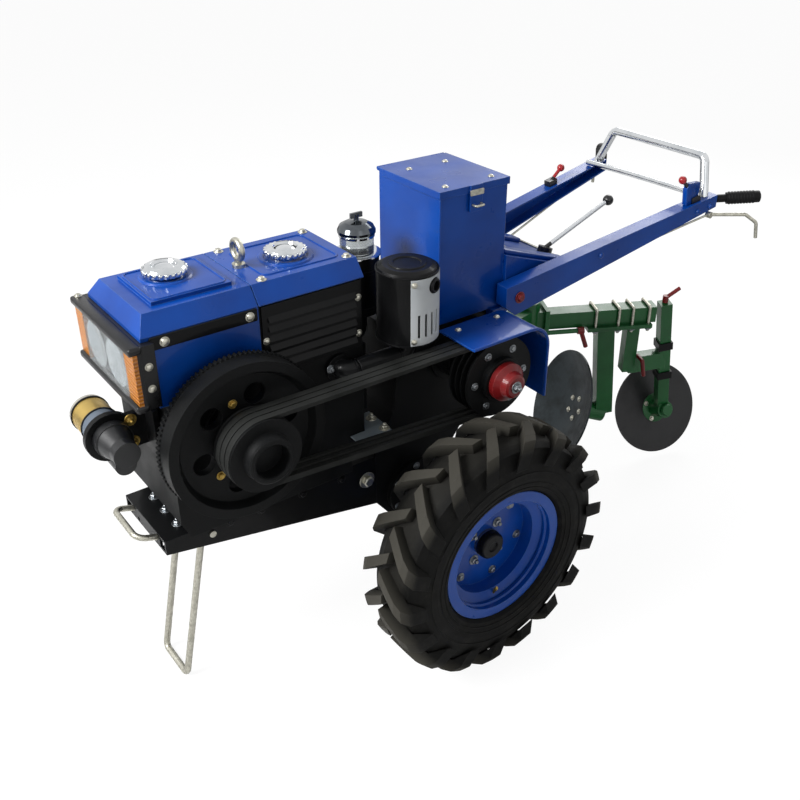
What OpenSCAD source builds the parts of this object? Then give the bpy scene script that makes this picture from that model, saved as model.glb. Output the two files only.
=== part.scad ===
// Walking tractor (power tiller) with a mounted disc plough.
// X points forward, Y to the left and Z up, in millimetres.
// Places are measured from the point on the ground under the axle;
// place() then moves everything so that the origin is the middle of the footprint.

/* [Wheels] */
// Outer radius of a tyre at its lug tips
tyre_r = 320; // [300:1:340]
// Width of a tyre over its lugs
tyre_w = 168; // [150:1:180]
// Distance between the middle planes of the two wheels
track = 810; // [780:1:860]
// Height of a lug above the casing
lug_h = 26; // [15:1:32]
// Width of a lug along the tread
lug_w = 27; // [18:1:36]
// Number of lugs on each side of a tyre
lug_count = 18; // [14:1:20]
// How far a lug runs along the tread from the middle to the shoulder
lug_run = 78; // [40:1:100]
// Radius of the rim at its flange
rim_r = 172; // [165:1:185]
// Radius of the rim where the bead sits
seat_r = 152; // [145:1:158]
// Width of the rim over its flanges
rim_w = 124; // [110:1:136]
// Thickness of the rim's steel
rim_t = 5; // [4:0.5:8]
// Radius of an axle shaft
axle_r = 24; // [18:1:28]

/* [Frame] */
// Height of the top of the rails, which carry the engine, above the axle
frame_lift = 137; // [120:1:150]
// Distance from the axle to the front end of the rails
frame_front = 675; // [640:1:690]
// Depth of a rail at its front end
rail_front_h = 36; // [28:1:60]
// Depth of a rail where it meets the gearbox
rail_rear_h = 144; // [110:1:160]
// Width of a rail's flanges
rail_w = 32; // [26:1:40]
// Half of the frame's width over the rails
rail_y = 108; // [100:1:112]
// Thickness of the frame's plates
plate_t = 6; // [4:0.5:8]
// Length of the plate that joins the rails at the front
front_plate_l = 75; // [50:1:100]

/* [Front stand] */
// Radius of the stand's rod
stand_rod_r = 8; // [6:0.5:10]
// Distance from the axle to the stand's pivot
stand_pivot_x = 565; // [520:1:600]
// Distance from the axle to the stand's foot
stand_foot_x = 655; // [620:1:700]
// Half of the distance between the stand's legs
stand_leg_y = 60; // [40:1:62]
// How far the front loop stands ahead of the frame
bumper_reach = 52; // [30:1:70]

/* [Engine] */
// Distance from the axle to the crankshaft
crank_x = 500; // [490:1:510]
// Height of the crankshaft above the rails
crank_lift = 247; // [235:1:260]
// Radius of the flywheel
flywheel_r = 180; // [170:1:195]
// Width of the flywheel's rim
flywheel_w = 54; // [45:1:70]
// Height of the starter ring's teeth
ring_tooth_h = 4; // [3:0.5:6]
// Number of teeth on the starter ring
ring_teeth = 104; // [60:1:120]
// Outer radius of the engine pulley
engine_pulley_r = 82; // [70:1:90]
// Distance from the axle back to the clutch shaft
clutch_back = 125; // [110:1:140]
// Depth of the clutch shaft below the gearbox's top
clutch_drop = 91; // [80:1:105]
// Outer radius of the clutch pulley
clutch_pulley_r = 102; // [95:1:110]
// Distance between neighbouring belts
belt_pitch = 19; // [18:0.5:22]
// Width of a belt at its back
belt_w = 16; // [12:0.5:17]
// Thickness of a belt
belt_h = 11; // [8:0.5:13]
// Number of belts
belt_count = 3; // [2:1:3]
// Half of the engine block's width
block_y = 128; // [120:1:132]
// Height of the tank's floor above the crankshaft
tank_lift = 96; // [88:1:110]
// Height of the tank's upright sides, up to the shoulders
tank_side_h = 157; // [140:1:170]
// Height of the bevelled shoulders of hood and tank
hood_rise = 39; // [28:1:50]
// Half of the hood's width at its lower edge
hood_y = 134; // [130:1:145]
// Half of the width of the hood's flat top
hood_top_y = 106; // [90:1:115]
// Distance from the axle to the rear of the hood
hood_rear = 158; // [150:1:170]
// Distance from the axle to the seam between hood and tank
tank_seam = 417; // [400:1:430]
// Distance from the axle to the front of the tank
tank_front = 650; // [630:1:655]
// How far the tank's nose reaches over the lamp
tank_nose_l = 20; // [10:1:28]
// Radius of a filler cap
cap_r = 44; // [35:1:50]

/* [Lamp] */
// Depth of the lamp housing
lamp_d = 50; // [46:1:60]
// Half of the lamp housing's width
lamp_y = 153; // [140:1:160]
// Height of the lamp housing
lamp_h = 137; // [120:1:142]
// Width of an amber lens
amber_w = 38; // [25:1:45]

/* [Starter] */
// Distance from the axle to the starter
starter_x = 728; // [722:1:735]
// Height of the starter above the crankshaft
starter_lift = 11; // [0:1:20]
// Radius of the starter's body
starter_r = 40; // [34:1:44]

/* [Exhaust and intake] */
// Radius of the muffler
muffler_r = 70; // [60:1:72]
// Distance from the axle to the muffler
muffler_x = 59; // [50:1:65]
// Distance from the middle plane to the muffler
muffler_y = 159; // [155:1:165]
// Height of the muffler
muffler_h = 182; // [150:1:200]
// Radius of the air cleaner's can
cleaner_r = 52; // [45:1:55]
// Distance from the axle to the air cleaner
cleaner_x = 72; // [66:1:76]
// Height of the air cleaner's can
cleaner_h = 145; // [120:1:160]

/* [Gearbox and toolbox] */
// Half of the gearbox's width
gearbox_y = 105; // [100:1:108]
// Height of the gearbox's top, which carries the toolbox, above the rails
gearbox_h = 312; // [300:1:325]
// Distance from the axle back to the gearbox's rear face
gearbox_back = 230; // [220:1:240]
// Distance from the axle to the gearbox's front face
gearbox_front = 117; // [110:1:124]
// Distance from the axle back to the toolbox's front face
toolbox_front_back = 64; // [55:1:75]
// Length of the toolbox, front to back
toolbox_l = 203; // [180:1:220]
// Half of the toolbox's width
toolbox_y = 119; // [105:1:122]
// Height of the toolbox
toolbox_h = 329; // [300:1:350]
// Thickness of the toolbox's sheet
sheet_t = 3; // [2:0.5:5]
// Depth of the lid's skirt
lid_skirt = 14; // [10:1:30]

/* [Handles] */
// Distance from the axle back to the front ends of the arms
arm_front_back = 239; // [232:1:250]
// Height of an arm's top edge at its front end above the gearbox's top
arm_lift = 69; // [55:1:80]
// Distance from the middle plane to an arm at its front end
arm_front_y = 150; // [146:1:156]
// Length of an arm along the machine
arm_l = 716; // [680:1:740]
// Rise of an arm from front to rear
arm_rise = 114; // [100:1:140]
// Flare of an arm from front to rear
arm_flare = 57; // [40:1:70]
// Height of an arm's section at the front
arm_front_h = 78; // [66:1:90]
// Height of an arm's section at the rear
arm_rear_h = 34; // [30:1:44]
// Width of an arm's section
arm_w = 40; // [34:1:42]
// Radius of the hoop's tube
hoop_r = 12; // [9:0.5:14]
// Height of the hoop above the arms
hoop_rise = 100; // [80:1:130]
// How much narrower the hoop is at its top, on each side
hoop_taper = 40; // [20:1:60]
// Backward lean of the hoop
hoop_lean = 14; // [0:1:25]
// Radius of a grip
grip_r = 16; // [14:0.5:20]

/* [Plough] */
// Radius of the concave disc
disc_r = 180; // [160:1:185]
// Radius of the disc's hollow
disc_dish_r = 330; // [280:1:420]
// Thickness of the disc's steel
disc_t = 6; // [4:0.5:8]
// Turn of the disc's face away from straight ahead
disc_yaw = -24; // [-30:1:-10]
// Upward tilt of the disc's face
disc_tilt = 19; // [10:1:22]
// Radius of the flat tail disc
tail_disc_r = 150; // [135:1:155]
// Turn of the tail disc
tail_yaw = 16; // [8:1:20]
// Lean of the tail disc
tail_tilt = 22; // [10:1:26]
// Width of the square beam
beam_w = 50; // [44:1:60]
// Depth of the beam's middle line below the hitch block
beam_drop = 30; // [20:1:45]

/* [Hidden] */
$fn = 48;
run_gap = 0.08;
seam_gap = 0.2;
seat_gap = 0.3;
move_gap = 6;

wheel_y = track / 2;
casing_r = tyre_r - lug_h;
casing_y = tyre_w / 2 - 5;
rim_disc_y = wheel_y - 17;
rim_disc_t = 8;
hub_r = 75;
hub_t = 12;
pilot_r = 34;

frame_top = tyre_r + frame_lift;
crank_z = frame_top + crank_lift;
gearbox_top = frame_top + gearbox_h;
clutch_x = -clutch_back;
clutch_z = gearbox_top - clutch_drop;
tank_floor = crank_z + tank_lift;
tank_nose = tank_front + tank_nose_l;
hood_low = tank_floor + tank_side_h;
hood_top = hood_low + hood_rise;
block_front = 640;
crank_r = 28;
port_x = 230;
intake_x = gearbox_front + 1;

stand_pivot_z = frame_top - rail_front_h + 8;
stand_foot_z = stand_rod_r + seam_gap;
stop_x = stand_pivot_x + stand_rod_r + 7;
stop_z = frame_top - rail_front_h - (frame_front - stop_x - 6) * (rail_rear_h - rail_front_h)
    / (frame_front - gearbox_front - seat_gap);
front_hole_y = 40;
front_hole_z = frame_top - 26;
front_hole_r = 5.5;
bumper_y = 66;
bumper_rod_r = 7;
bumper_bend = 22;
bumper_slope = 0.35;

flywheel_in = 160;
flywheel_out = flywheel_in + flywheel_w;
groove_depth = belt_h + 3;
belt_proud = 1;
pulley_half = belt_pitch * belt_count / 2 + 4;
belt_middle_y = flywheel_out + pulley_half + 0.5;
belt_top = max(crank_z + engine_pulley_r, clutch_z + clutch_pulley_r) + belt_proud;
clutch_hub_out = belt_middle_y + 93;

fender_out = belt_middle_y + 53;
fender_t = 4;
fender_top = clutch_z + clutch_pulley_r + belt_proud + move_gap + fender_t;

muffler_low = max(belt_top, gearbox_top) + move_gap + 1;
cleaner_y = -20;
cleaner_low = muffler_low + move_gap;
cleaner_top = cleaner_low + cleaner_h;
starter_z = crank_z + starter_lift;
starter_lug = 14;

lamp_back = tank_front + seat_gap;
lamp_front = lamp_back + lamp_d;
lamp_bezel_d = 21;
lamp_lip = 12;
lamp_floor = lamp_front - lamp_bezel_d + 7;
lamp_body_y = min(flywheel_in - move_gap - 4, lamp_y);
lamp_high = hood_low - move_gap;
lamp_low = lamp_high - lamp_h;

toolbox_top = gearbox_top + seat_gap + toolbox_h;
toolbox_back = -toolbox_front_back - toolbox_l;
knuckle_r = 5;
knuckle_l = 40;
hinge_pin_r = 2.5;
hinge_y = -toolbox_y - knuckle_r - 1;
hinge_z = toolbox_top + seat_gap + sheet_t - knuckle_r;

tail_pos = [-1052, 52, tail_disc_r * cos(tail_tilt) + 14];
tail_disc_t = 6;
tail_shaft_r = 12;
disc_shaft_r = 16;
screw_l = 92;
screw_y = 36;
screw_drop = 30;
tail_post_rise = 26;
disc_pos = [-785, -60, disc_r * cos(disc_tilt) + 24];
disc_hub_l = 100;
disc_hub_r = 28;
hitch_low = gearbox_top - 194;
hitch_h = 70;
hitch_pin_r = 11;
hitch_pin_back = 58;
beam_z = hitch_low - beam_drop;
beam_front = [-640, -85];
beam_rear = [-945, 74];
beam_dir = (beam_rear - beam_front) / norm(beam_rear - beam_front);
beam_turn = atan2(beam_rear.y - beam_front.y, beam_rear.x - beam_front.x);
beam_l = norm(beam_rear - beam_front);
tail_post = beam_rear + beam_dir * 34;

cover_share = 0.413;
cover_front_z = gearbox_top + cover_share * toolbox_h;
cover_slope = 0.35;
cover_rear = -535;
cover_y = arm_front_y - arm_w / 2 - seat_gap;
gate = [-512, 15];
gear_knob = [-767, 0, 912];
rod_eye = [-470, cover_y + seat_gap, gearbox_top + 26];
arm_front_z = gearbox_top + arm_lift;
arm_turn = atan2(arm_flare, arm_l);
arm_pitch = atan2(arm_rise, arm_l);
arm_t = 4;
boss_r = 13;
boss = [toolbox_back - boss_r - 5, cover_y - 1, gearbox_top + 37];
boss_end = arm_front_y + arm_w / 2 - arm_t - seat_gap
    + arm_flare * (-boss.x - boss_r - arm_front_back) / arm_l;
grip_dir = [-0.72, 0.68, 0.1] / norm([-0.72, 0.68, 0.1]);

tail_axis_x = sin(tail_yaw) * cos(tail_tilt);
front_x = starter_x + starter_r + starter_lug;
rear_x = tail_pos.x - tail_disc_r * sqrt(1 - tail_axis_x * tail_axis_x) - tail_disc_t / 2 * tail_axis_x;
mid_x = (front_x + rear_x) / 2;

function bend_dir(a, b) = (b - a) / norm(b - a);
function disc_axis() = [cos(disc_tilt) * cos(disc_yaw), cos(disc_tilt) * sin(disc_yaw), sin(disc_tilt)];
function tail_axis() = [tail_axis_x, cos(tail_yaw) * cos(tail_tilt), sin(tail_tilt)];
function cover_top(x) = cover_front_z + (x - toolbox_back) * cover_slope;
function arm_at(f) = [-arm_front_back - f * arm_l, arm_front_y + f * arm_flare, arm_front_z + f * arm_rise];

module place() { translate([-mid_x, 0, 0]) children(); }

// Turns a shape made along Z so that it lies along Y, with its plan seen from the right.
module along_y(y = 0) { translate([0, y, 0]) rotate([-90, 0, 0]) children(); }

module along_y_at(p, y) { translate([p.x, p.y + y, p.z]) rotate([-90, 0, 0]) children(); }

// A side view drawn in X and Z, given a width along Y that starts at y.
module side_view(y, w) { translate([0, y + w, 0]) rotate([90, 0, 0]) linear_extrude(w) children(); }

// A round bar from a to b.
module rod(a, b, r) {
    v = b - a;
    translate(a)
        rotate([0, acos(v.z / norm(v)), atan2(v.y, v.x)])
            cylinder(r = r, h = norm(v));
}

// A round bar bent to radius bend at each point between its two ends.
module bent_rod(points, r, bend) {
    last = len(points) - 1;
    dirs = [for (i = [0 : last - 1]) bend_dir(points[i], points[i + 1])];
    turns = [for (i = [0 : last]) i == 0 || i == last ? 0 : acos(dirs[i - 1] * dirs[i])];
    trims = [for (i = [0 : last]) bend * tan(turns[i] / 2)];
    for (i = [0 : last - 1])
        rod(points[i] + dirs[i] * trims[i], points[i + 1] - dirs[i] * trims[i + 1], r);
    for (i = [1 : last - 1]) {
        n = bend_dir([0, 0, 0], cross(dirs[i - 1], dirs[i]));
        x = bend_dir(dirs[i], dirs[i - 1]);
        y = cross(n, x);
        c = points[i] - x * bend / cos(turns[i] / 2);
        multmatrix([[x.x, y.x, n.x, c.x], [x.y, y.y, n.y, c.y], [x.z, y.z, n.z, c.z]])
            rotate_extrude(angle = turns[i], start = -turns[i] / 2) translate([bend, 0]) circle(r = r);
        for (seam = [-dirs[i - 1], dirs[i]])
            translate(points[i] + seam * trims[i]) sphere(r = r + seam_gap);
    }
}

// A square bar from a to b, w wide and h high, with its sides upright.
module bar(a, b, w, h) {
    v = b - a;
    translate(a)
        rotate([0, -asin(v.z / norm(v)), atan2(v.y, v.x)])
            translate([0, -w / 2, -h / 2]) cube([norm(v), w, h]);
}

// A square post from low to high, w by h, with its sides turned by turn in plan.
module post(low, high, w, h, turn) {
    v = high - low;
    heading = atan2(v.y, v.x);
    translate(low) rotate([0, acos(v.z / norm(v)), heading]) rotate([0, 0, turn - heading])
        translate([-w / 2, -h / 2, 0]) cube([w, h, norm(v)]);
}

module both_sides() {
    children();
    mirror([0, 1, 0]) children();
}

// Frame

module rail() {
    x0 = gearbox_front + seat_gap;
    zr = frame_top - rail_rear_h;
    zf = frame_top - rail_front_h;
    difference() {
        side_view(rail_y - rail_w, rail_w)
            polygon([[x0, zr], [frame_front, zf], [frame_front, frame_top], [x0, frame_top]]);
        side_view(rail_y - rail_w - 1, rail_w + 1 - plate_t)
            polygon([[x0 - 1, zr + plate_t], [frame_front + 1, zf + plate_t],
                [frame_front + 1, frame_top - plate_t], [x0 - 1, frame_top - plate_t]]);
        translate([stand_pivot_x, 0, stand_pivot_z]) along_y(rail_y - plate_t - 1)
            cylinder(r = stand_rod_r + run_gap, h = plate_t + 2);
    }
}

module frame() {
    place() color("#1c1d20") {
        both_sides() {
            rail();
            translate([stop_x, stand_leg_y - stand_rod_r, stop_z])
                cube([12, rail_y - stand_leg_y - rail_w + 18, plate_t]);
        }
        translate([frame_front - front_plate_l, -rail_y + rail_w - 1, frame_top - plate_t])
            cube([front_plate_l, 2 * (rail_y - rail_w + 1), plate_t]);
        difference() {
            translate([frame_front - plate_t, -rail_y + rail_w - 1, frame_top - rail_front_h])
                cube([plate_t, 2 * (rail_y - rail_w + 1), rail_front_h]);
            for (y = [-1, 1] * front_hole_y)
                translate([frame_front - 2 * plate_t, y, front_hole_z]) rotate([0, 90, 0])
                    cylinder(r = front_hole_r, h = 3 * plate_t);
        }
        translate([gearbox_front + seat_gap, -rail_y + rail_w - 1, frame_top - rail_rear_h])
            cube([plate_t * 2, 2 * (rail_y - rail_w + 1), rail_rear_h]);
    }
}

module bumper() {
    z0 = frame_top - bumper_rod_r - 4;
    x0 = frame_front + seat_gap;
    x1 = x0 + bumper_reach - bumper_rod_r;
    inside = 2 * bumper_rod_r;
    z1 = z0 + (x1 - x0) * bumper_slope;
    zi = z0 - inside * bumper_slope;
    place() color("#c9c7bd") difference() {
        bent_rod([[x0 - inside, bumper_y, zi], [x1, bumper_y, z1],
            [x1, -bumper_y, z1], [x0 - inside, -bumper_y, zi]], bumper_rod_r, bumper_bend);
        translate([x0 - 3 * inside, -rail_y, z0 - 2 * inside]) cube([3 * inside, 2 * rail_y, 4 * inside]);
    }
}

module stand() {
    top = [stand_pivot_x, stand_leg_y, stand_pivot_z];
    foot = [stand_foot_x, stand_leg_y, stand_foot_z];
    pin_out = rail_y + 4;
    place() color("#c9c7bd")
        bent_rod([[top.x, pin_out, top.z], top, foot,
            [foot.x, -foot.y, foot.z], [top.x, -top.y, top.z], [top.x, -pin_out, top.z]],
            stand_rod_r, 2 * stand_rod_r);
}

// Gearbox and axles

module gearbox() {
    place() color("#23252a") difference() {
        union() {
            side_view(-gearbox_y, 2 * gearbox_y)
                polygon([[-60, tyre_r - 80], [60, tyre_r - 80], [gearbox_front, frame_top - rail_rear_h],
                    [gearbox_front, frame_top + 13], [60, frame_top + 103], [40, gearbox_top],
                    [-gearbox_back, gearbox_top], [-gearbox_back, hitch_low - 35], [-90, tyre_r + 40]]);
            translate([0, 0, tyre_r]) both_sides() along_y(gearbox_y) {
                cylinder(r = 82, h = 16);
                cylinder(r = 50, h = 130);
            }
            translate([clutch_x, 0, clutch_z]) along_y(gearbox_y) cylinder(r = 60, h = 60);
        }
        translate([0, 0, tyre_r]) both_sides() along_y(150) cylinder(r = axle_r + run_gap, h = 120);
        translate([clutch_x, 0, clutch_z]) along_y(gearbox_y - 10) cylinder(r = 20 + run_gap, h = 80);
    }
}

module axle(side) {
    place() color("#8d9094") translate([0, 0, tyre_r]) mirror([0, side < 0 ? 1 : 0, 0]) {
        along_y(152) cylinder(r = axle_r, h = rim_disc_y - 152);
        along_y(rim_disc_y - seat_gap - hub_t) cylinder(r = hub_r, h = hub_t);
        along_y(rim_disc_y - seat_gap - hub_t) cylinder(r = pilot_r - seat_gap, h = hub_t + 34);
    }
}

module axle_left() { axle(1); }
module axle_right() { axle(-1); }

// Wheels

function arc_pts(c, r, a0, a1, n) = [for (i = [0 : n])
    let (a = a0 + (a1 - a0) * i / n) c + r * [sin(a), cos(a)]];

// Half of the casing's section, from bead to crown, as pairs of radius and distance from the middle.
function casing_half(inset) =
    let (flank = casing_r - rim_r, flank_r = 0.885 * flank)
    let (rs = flank_r - inset, c = [rim_r + 0.41 * flank, casing_y - flank_r])
    let (r0 = seat_r + seat_gap, r1 = casing_r - 10)
    concat(
        [for (r = [r0, rim_r + 2]) [r, rim_w / 2 - rim_t - seat_gap - inset * 0.6]],
        arc_pts(c, rs, asin((rim_r + 8 - c.x) / rs), asin((r1 - inset - c.x) / rs), 6),
        [[casing_r - 3 - inset, 38], [casing_r - inset, 0]]);

function mirrored(half) = concat(half, [for (i = [len(half) - 2 : -1 : 0]) [half[i].x, -half[i].y]]);

module tyre_casing() {
    rotate_extrude($fn = 96) difference() {
        polygon(mirrored(casing_half(0)));
        polygon(mirrored(casing_half(13)));
    }
}

module lug_envelope() {
    h = tyre_w / 2;
    rotate_extrude($fn = 96)
        polygon([[casing_r - 45, -h], [tyre_r - 24, -h + 1], [tyre_r - 6, -h + 12], [tyre_r, -h + 30],
            [tyre_r, h - 30], [tyre_r - 6, h - 12], [tyre_r - 24, h - 1], [casing_r - 45, h],
            [casing_r - 6, h - 22], [casing_r - 5, 0], [casing_r - 6, -h + 22]]);
}

module lug_prism() {
    h = tyre_w / 2;
    translate([casing_r - 60, 0, 0]) rotate([90, 0, 90]) linear_extrude(lug_h + 70)
        polygon([[-lug_w / 2, -9], [lug_w / 2, -9],
            [lug_w / 2 + lug_run, h + 2], [-lug_w / 2 + lug_run - 8, h + 2]]);
}

module tyre(side) {
    step = 360 / lug_count;
    place() color("#191919")
        translate([0, side * wheel_y, tyre_r]) mirror([0, side < 0 ? 1 : 0, 0]) along_y() {
        tyre_casing();
        intersection() {
            lug_envelope();
            union() for (i = [0 : lug_count - 1]) {
                rotate([0, 0, 90 + i * step]) lug_prism();
                rotate([0, 0, 90 + (i + 0.5) * step]) mirror([0, 0, 1]) lug_prism();
            }
        }
    }
}

module tyre_left() { tyre(1); }
module tyre_right() { tyre(-1); }

module rim(side) {
    h = rim_w / 2;
    well_r = 128;
    well_h = 24;
    place() color("#1f4fb0") translate([0, 0, tyre_r]) mirror([0, side < 0 ? 1 : 0, 0]) {
        along_y(wheel_y) rotate_extrude($fn = 96) polygon([
            [seat_r - rim_t, h], [rim_r, h], [rim_r, h - rim_t], [seat_r, h - rim_t], [seat_r, well_h + 12],
            [well_r, well_h], [well_r, -well_h], [seat_r, -well_h - 12], [seat_r, rim_t - h],
            [rim_r, rim_t - h], [rim_r, -h], [seat_r - rim_t, -h], [seat_r - rim_t, -well_h - 14],
            [well_r - rim_t, -well_h - 2], [well_r - rim_t, well_h + 2], [seat_r - rim_t, well_h + 14]]);
        along_y(rim_disc_y) difference() {
            cylinder(r = well_r - rim_t / 2, h = rim_disc_t, $fn = 96);
            translate([0, 0, -1]) cylinder(r = pilot_r, h = rim_disc_t + 2);
        }
    }
}

module rim_left() { rim(1); }
module rim_right() { rim(-1); }

// Engine

module engine_block() {
    sump_rear = 200;
    head_rear = hood_rear + 4;
    intake_y = 75;
    place() color("#202226") difference() {
        union() {
            side_view(-block_y, 2 * block_y)
                polygon([[sump_rear, frame_top], [block_front - 20, frame_top],
                    [block_front, frame_top + 43], [block_front, crank_z + 36],
                    [block_front - 28, tank_floor - seat_gap], [tank_seam, tank_floor - seat_gap],
                    [tank_seam, hood_low - seat_gap],
                    [head_rear, hood_low - seat_gap], [head_rear, frame_top + 83],
                    [sump_rear, frame_top + 63]]);
            translate([intake_x, -intake_y, crank_z - 124])
                cube([head_rear + 1 - intake_x, 2 * intake_y, 180]);
            translate([crank_x, 0, crank_z]) along_y(block_y - 1) cylinder(r = 62, h = 9);
        }
        translate([crank_x, 0, crank_z]) along_y(20) cylinder(r = crank_r + run_gap, h = 130);
    }
}

module side_panel() {
    x0 = hood_rear + 8;
    x1 = tank_seam - 6;
    z0 = tank_floor - 8;
    z1 = hood_low - 4;
    y0 = block_y + seat_gap;
    pitch = (z1 - z0 - 30) / 6;
    louvre_d = 7;
    translate([x0, y0, z0]) cube([x1 - x0, 4, z1 - z0]);
    for (i = [0 : 5])
        translate([x0 + 14, y0 + 3.5, z0 + 14 + i * pitch]) rotate([0, 90, 0]) rotate([0, 0, 90])
            linear_extrude(x1 - x0 - 28) polygon([[0, 0], [louvre_d, 0], [0, pitch * 0.62]]);
}

module side_panels() { place() color("#1a1b1d") both_sides() side_panel(); }

module shoulder_section(low, y_low) {
    polygon([[-y_low, low], [y_low, low], [y_low, hood_low + 2], [hood_top_y, hood_top],
        [-hood_top_y, hood_top], [-y_low, hood_low + 2]]);
}

// Extrudes a cross section drawn in Y and Z along X.
module lengthwise(x0, x1) { translate([x0, 0, 0]) rotate([90, 0, 90]) linear_extrude(x1 - x0) children(); }

module hood() {
    place() color("#1f4fb0") {
        lengthwise(hood_rear, tank_seam - 1) shoulder_section(hood_low, hood_y);
    }
}

module fuel_tank() {
    place() color("#1f4fb0") {
        intersection() {
            lengthwise(tank_seam + 1, tank_nose) shoulder_section(tank_floor, hood_y);
            side_view(-hood_y - 1, 2 * hood_y + 2)
                polygon([[tank_seam, tank_floor - 1], [tank_front, tank_floor - 1],
                    [tank_front, lamp_high + seat_gap], [tank_nose, lamp_high + seat_gap],
                    [tank_nose, hood_low + 2], [tank_front, hood_top + 1], [tank_seam, hood_top + 1]]);
        }
        translate([tank_seam + 30, -hood_top_y + 22, hood_top - 1])
            cube([tank_front - tank_seam - 60, 2 * hood_top_y - 44, 9]);
    }
}

module filler_cap(h) {
    rotate_extrude() polygon([[0, 0], [cap_r - 8, 0], [cap_r - 8, 7], [cap_r, 9], [cap_r, h - 8],
        [cap_r - 4, h - 3], [cap_r * 0.62, h], [cap_r * 0.55, h - 5], [0, h - 5]]);
}

module filler_caps() {
    place() color("#d7dade") {
        translate([542, -22, hood_top + 8]) filler_cap(26);
        translate([280, 13, hood_top]) filler_cap(24);
    }
}

module lifting_eye() {
    place() color("#9fa3a8") translate([390, 6, hood_top]) {
        cylinder(r = 14, h = 8);
        cylinder(r = 8, h = 20);
        translate([0, 0, 38]) rotate([0, 90, 0]) rotate_extrude() translate([20, 0]) circle(r = 7);
    }
}

// Lamp

module lamp_housing() {
    w = 2 * lamp_y;
    place() color("#17181a") difference() {
        union() {
            translate([lamp_back, -lamp_body_y, lamp_low]) cube([lamp_d, 2 * lamp_body_y, lamp_h]);
            translate([lamp_front - lamp_bezel_d, -lamp_y, lamp_low]) cube([lamp_bezel_d, w, lamp_h]);
        }
        translate([lamp_floor, -lamp_y - 1, lamp_low + lamp_lip])
            cube([lamp_d, w + 2, lamp_h - 2 * lamp_lip]);
    }
}

module lamp_lens() {
    w = 2 * (lamp_y - 10 - amber_w - 2);
    place() color("#e9eef0")
        translate([lamp_floor + seat_gap, -w / 2, lamp_low + lamp_lip + seat_gap])
            cube([lamp_front - lamp_floor - 4, w, lamp_h - 2 * (lamp_lip + seat_gap)]);
}

module amber_lenses() {
    place() color("#e8871e") both_sides()
        translate([lamp_floor + seat_gap, lamp_y - 10 - amber_w, lamp_low + lamp_lip + seat_gap])
            cube([lamp_front - lamp_floor - 5, amber_w + 9, lamp_h - 2 * (lamp_lip + seat_gap)]);
}

// Starter

module starter_motor() {
    place() color("#b9a25c") translate([starter_x, 0, starter_z]) {
        along_y(-85) cylinder(r = starter_r, h = 150);
        along_y(64) cylinder(r1 = starter_r - 2, r2 = 28, h = 40);
        along_y(103) cylinder(r = 28, h = 24);
        translate([-12, 0, -60]) along_y(-30) cylinder(r = 23, h = 100);
    }
}

module starter_bracket() {
    place() color("#3a3d42") difference() {
        union() {
            translate([starter_x, 0, starter_z]) along_y(30) cylinder(r = starter_r + starter_lug, h = 14);
            translate([block_front + seat_gap, 30, starter_z - 40]) cube([starter_x - block_front, 14, 80]);
            translate([block_front + seat_gap, -30, starter_z - 55]) cube([12, 120, 110]);
        }
        translate([starter_x, 0, starter_z]) along_y(20) cylinder(r = starter_r + run_gap, h = 40);
        translate([starter_x - 12, 0, starter_z - 60]) along_y(20) cylinder(r = 23 + run_gap, h = 40);
    }
}

// Exhaust and intake

module muffler() {
    h = muffler_h;
    pipe_z = muffler_low - 38;
    pipe_r = 22;
    place() color("#1b1b1c") difference() {
        union() {
            translate([muffler_x, muffler_y, muffler_low]) rotate_extrude()
                polygon([[0, 0], [muffler_r - 8, 0], [muffler_r, 8], [muffler_r, h - 14],
                    [muffler_r - 4, h - 5], [muffler_r - 14, h], [0, h]]);
            bent_rod([[muffler_x, muffler_y, muffler_low + 5], [muffler_x, muffler_y, pipe_z],
                [port_x, muffler_y, pipe_z], [port_x, block_y, pipe_z]], pipe_r, pipe_r + 4);
            translate([port_x, block_y, pipe_z]) along_y() cylinder(r = pipe_r + 11, h = 10);
        }
        translate([port_x - 2 * pipe_r, 0, pipe_z - 2 * pipe_r])
            cube([4 * pipe_r, block_y + seat_gap, 4 * pipe_r]);
    }
}

module muffler_guard() {
    r0 = muffler_r + seat_gap;
    place() color("#e8e8e6") translate([muffler_x, muffler_y, muffler_low + 10]) difference() {
        rotate_extrude(angle = 110, start = 60) translate([r0, 0]) square([3, muffler_h - 24]);
        for (i = [0 : 3])
            rotate([0, 0, 75 + i * 14]) translate([r0 - 4, -3, 18]) cube([12, 6, 56]);
        rotate([0, 0, 110]) translate([r0 - 6, 0, 135]) rotate([0, 90, 0]) cylinder(r = 19, h = 14);
    }
}

module air_cleaner() {
    pipe_low = -65;
    place() color("#1b1b1c") translate([cleaner_x, cleaner_y, cleaner_low]) {
        cylinder(r = cleaner_r, h = cleaner_h);
        bent_rod([[0, 0, 1], [0, 0, pipe_low], [intake_x - seat_gap - cleaner_x, 0, pipe_low]], 20, 24);
    }
}

module air_cleaner_bowl() {
    place() color("#cfd8da") translate([cleaner_x, cleaner_y, cleaner_top]) rotate_extrude()
        polygon([[0, 0], [30, 0], [40, 8], [40, 44], [34, 52], [0, 52]]);
}

module air_cleaner_cap() {
    place() color("#d7dade") translate([cleaner_x, cleaner_y, cleaner_top + 52]) {
        rotate_extrude() polygon([[0, 0], [45, 0], [45, 6], [40, 16], [26, 24], [0, 28]]);
        translate([0, 0, 26]) cylinder(r = 6, h = 16);
        translate([-16, -3, 34]) cube([32, 6, 12]);
    }
}

// Flywheel, pulleys and belts

module ring_outline() {
    step = 360 / ring_teeth;
    r0 = flywheel_r;
    r1 = flywheel_r + ring_tooth_h;
    polygon([for (i = [0 : ring_teeth - 1]) each [
        for (k = [[r0, 0], [r1, 0.28], [r1, 0.5], [r0, 0.78]])
            k[0] * [cos((i + k[1]) * step), sin((i + k[1]) * step)]]]);
}

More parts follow.
